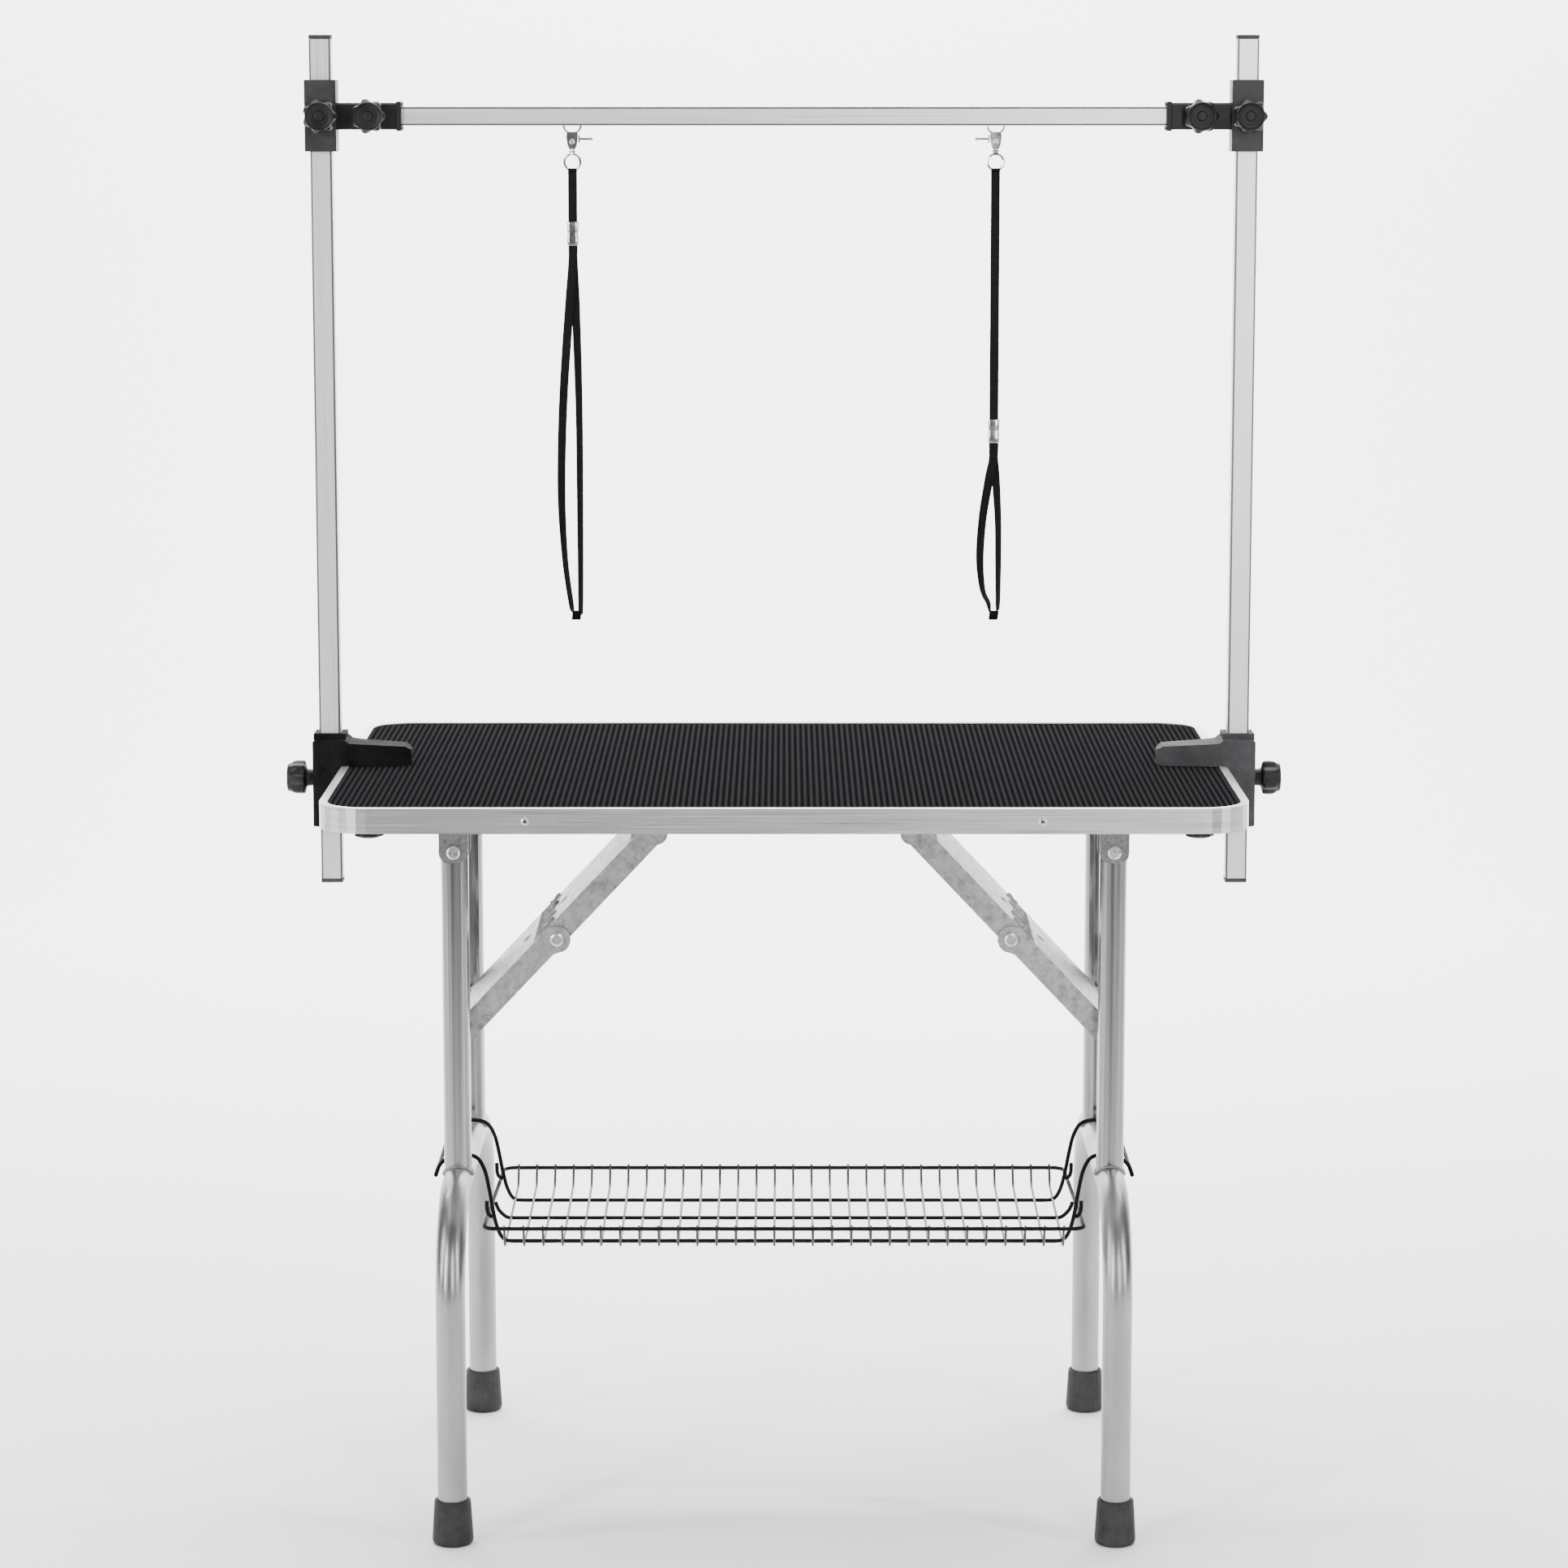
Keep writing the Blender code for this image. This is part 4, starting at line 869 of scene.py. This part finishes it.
def weld_beads():
    """A rippled bead where each upright tube stands on its U."""
    for side, sign in SIDES.items():
        centre_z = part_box(f"{side}_lower_frame")[1][2] - LOWER_TUBE_RADIUS
        for end, toward in ENDS.items():
            bead = []
            for i in range(96):
                a = math.tau * i / 96
                ripple = 0.00035 * math.cos(24 * a)
                r = UPPER_TUBE_RADIUS + 0.0006 + ripple
                u, v = r * math.cos(a), r * math.sin(a)
                saddle = math.sqrt(max(0.0157**2 - min(abs(u), 0.0150) ** 2, 0.0))
                bead.append((sign * LEG_X + u, toward * UPPER_TUBE_Y + v, centre_z + saddle))
            wires(f"{side}_{end}_weld", [bead], 0.0017, "ear", f"{side}_leg", closed=True)


def lower_frames():
    """The bent U tubes again with a finer bend, as wide and as high as in the CAD."""
    radius, bend = LOWER_TUBE_RADIUS, U_BEND
    for side, sign in SIDES.items():
        low, high = (Vector(v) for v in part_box(f"{side}_lower_frame"))
        reach, top = high.y - radius, high.z - radius
        route = [(-reach, low.z)]
        for start, centre in ((180, -reach + bend), (90, reach - bend)):
            for i in range(31):
                a = math.radians(start - 3 * i)
                route.append((centre + bend * math.cos(a), top - bend + bend * math.sin(a)))
        route.append((reach, low.z))
        points = [(sign * LEG_X, y, z) for y, z in route]
        made = wires(f"{side}_bent_tube", [points], radius, "bent", f"{side}_leg", resolution=14)
        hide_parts(f"{side}_lower_frame")


def elbow_hooks():
    """Small pressed tabs that stand up at the gap in each brace's web, beside the elbow."""
    for side, sign in SIDES.items():
        pin, slope, web_out = brace_directions(side, sign)
        across = Vector((0.0, 1.0, 0.0))
        tooth = [(-0.0115, 0.0135), (-0.0115, 0.0175), (-0.0085, 0.0188), (-0.0020, 0.0172)]
        tooth += [(0.0030, 0.0182), (0.0040, 0.0160), (-0.0010, 0.0145), (-0.0045, 0.0135)]
        for number, offset in enumerate((-0.070, -0.028, 0.028, 0.070)):
            shape = bmesh.new()
            rings = []
            for shift in (-0.001, 0.001):
                ring = [pin + slope * u + web_out * v + across * (offset + shift) for u, v in tooth]
                rings.append([shape.verts.new(place) for place in ring])
            fill_between(shape, rings)
            shape.faces.new(rings[0])
            shape.faces.new(rings[1])
            from_bmesh(f"{side}_elbow_hook_{number}", shape, "zinc", f"{side}_brace_upper")


def collars():
    """Raised collars where the posts leave the table clamps, and rims on the bar sockets."""
    for side, sign in SIDES.items():
        clamp_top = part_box(f"{side}_table_clamp")[1][2]
        finish = "pebbled" if side == "left" else "grey"
        rounded_frame(
            f"{side}_clamp_collar",
            Vector((sign * POST_X, 0.0, 0.0)),
            0.0165,
            0.0165,
            0.0114,
            0.0114,
            clamp_top - 0.001,
            clamp_top + 0.006,
            finish,
            "table",
        )
        rounded_frame(
            f"{side}_socket_rim",
            Vector((sign * SOCKET_MOUTH_X, 0.0, BAR_HEIGHT)),
            0.0148,
            0.0148,
            0.0099,
            0.0099,
            -0.0025,
            0.0025,
            "black",
            "crossbar",
            axis="X",
        )


edge_screws()
brace_rivets()
weld_beads()
lower_frames()
elbow_hooks()
collars()


# ---------------------------------------------------- finish on CAD nodes


def blacken_sockets():
    """The bar sockets of the corner clamps are a blacker plastic than their sleeves."""
    for side in SIDES:
        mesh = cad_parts[f"{side}_corner_clamp"].data
        mesh.materials.append(MATERIALS["black"])
        for face in mesh.polygons:
            if abs(face.center.x) < SLEEVE_INNER_X:
                face.material_index = 1


def dress_nodes():
    """Materials, smooth shading and soft edges for the CAD nodes that show."""
    rules = [
        ("table_board", "board", 0.0),
        ("table_mat", "mat", 0.0006),
        ("edge_trim", "trim", 0.0004),
        ("upper_tube", "leg", 0.0004),
        ("lower_frame", "leg", 0.0),
        ("foot", "rubber", 0.0),
        ("hinge_bracket", "ear", 0.0006),
        ("hinge_rod", "rivet", 0.0005),
        ("elbow_pin", "rivet", 0.0),
        ("brace", "zinc", 0.0005),
        ("post_top_cap", "grey", 0.0008),
        ("post_bottom_cap", "grey", 0.0008),
        ("corner_clamp", "charcoal", 0.0010),
        ("left_table_clamp", "pebbled", 0.0012),
        ("right_table_clamp", "grey", 0.0012),
        ("clamp_screw", "black", 0.0004),
        ("crossbar", "bar", 0.0),
        ("left_post", "post", 0.0),
        ("right_post", "post", 0.0),
        ("snap", "chrome", 0.0004),
        ("swivel", "chrome", 0.0),
    ]
    for name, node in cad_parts.items():
        for word, material, soft in rules:
            if word in name:
                node.data.materials.clear()
                node.data.materials.append(MATERIALS[material])
                node.data.shade_smooth()
                node.data.set_sharp_from_angle(angle=math.radians(32))
                if soft:
                    bezel(node, soft, 2)
                break


dress_nodes()
blacken_sockets()


# ------------------------------------------------------------------ studio


def area_light(name, place, target, size, power):
    light = bpy.data.lights.new(name, "AREA")
    light.shape = "RECTANGLE"
    light.size, light.size_y = size
    light.energy = power
    made = bpy.data.objects.new(name, light)
    SCENE.collection.objects.link(made)
    made.visible_camera = False
    made.matrix_world = turned_to(place, Vector(place) - Vector(target))


def studio():
    """A pale floor with painted shade that greys it in front of the view, a sweep behind, strip lights and a
    top light.
    """
    made, tree, shader = surface("studio_floor", (0.93, 0.93, 0.93), 0.8, specular=0.2)
    depth = tree.nodes.new("ShaderNodeSeparateXYZ")
    tree.links.new(coordinates(tree, (1.0, 1.0, 1.0)), depth.inputs["Vector"])
    cloud = remap(tree, noise(tree, (3.0, 3.0, 3.0)), -0.05, 0.05)
    # painted shade: the floor colour darkens towards the front, from y = -0.9 down to -2.4, with a faint
    # cloud
    level = arithmetic(tree, "ADD", remap(tree, depth.outputs["Y"], 0.0, 1.0, -2.4, -0.9), cloud)
    tint(tree, shader, level, (0.22, 0.22, 0.22), (0.94, 0.94, 0.94), 0.0, 0.95)
    MATERIALS["floor"] = made
    profile = [(-6.0, 0.0), (3.2, 0.0)]
    for i in range(1, 10):
        a = math.radians(10 * i)
        profile.append((3.2 + 1.4 * math.sin(a), 1.4 - 1.4 * math.cos(a)))
    profile.append((4.6, 6.0))
    shape = bmesh.new()
    rows = [[shape.verts.new((x, y, z)) for y, z in profile] for x in (-9.0, 9.0)]
    for i in range(len(profile) - 1):
        shape.faces.new((rows[0][i], rows[1][i], rows[1][i + 1], rows[0][i + 1]))
    mesh = bpy.data.meshes.new("studio_floor")
    shape.to_mesh(mesh)
    shape.free()
    mesh.shade_smooth()
    floor = add_object("studio_floor", mesh, "floor", None)
    for number, (turn, power) in enumerate(STRIP_LIGHTS):
        a = math.radians(turn)
        place = (STRIP_DISTANCE * math.sin(a), -STRIP_DISTANCE * math.cos(a), 2.0)
        area_light(f"strip_light_{number}", place, (0.0, 0.0, 0.9), (0.4, 3.0), power)
    area_light("top_light", (0.0, 0.4, 4.2), (0.0, 0.0, 0.8), (3.4, 2.6), 210.0)
    area_light("backdrop_light", (0.0, 2.2, 3.9), (0.0, 4.4, 1.6), (6.0, 0.8), 820.0)
    studio_air()


def studio_air():
    """Surroundings that are bright behind, and dimmer in front and at both sides."""
    world = bpy.data.worlds.new("studio_air")
    world.use_nodes = True
    tree = world.node_tree
    direction = tree.nodes.new("ShaderNodeTexCoord")
    split = tree.nodes.new("ShaderNodeSeparateXYZ")
    tree.links.new(direction.outputs["Generated"], split.inputs["Vector"])
    sideways = remap(tree, arithmetic(tree, "ABSOLUTE", split.outputs["X"], 0.0), 1.0, 0.05, 0.30, 0.80)
    behind = remap(tree, split.outputs["Y"], 0.20, 1.0, -0.4, 0.5)
    level = arithmetic(tree, "MULTIPLY", sideways, behind)
    tree.links.new(level, tree.nodes["Background"].inputs["Strength"])
    tree.nodes["Background"].inputs["Color"].default_value = (1.0, 1.0, 1.0, 1.0)
    SCENE.world = world


studio()
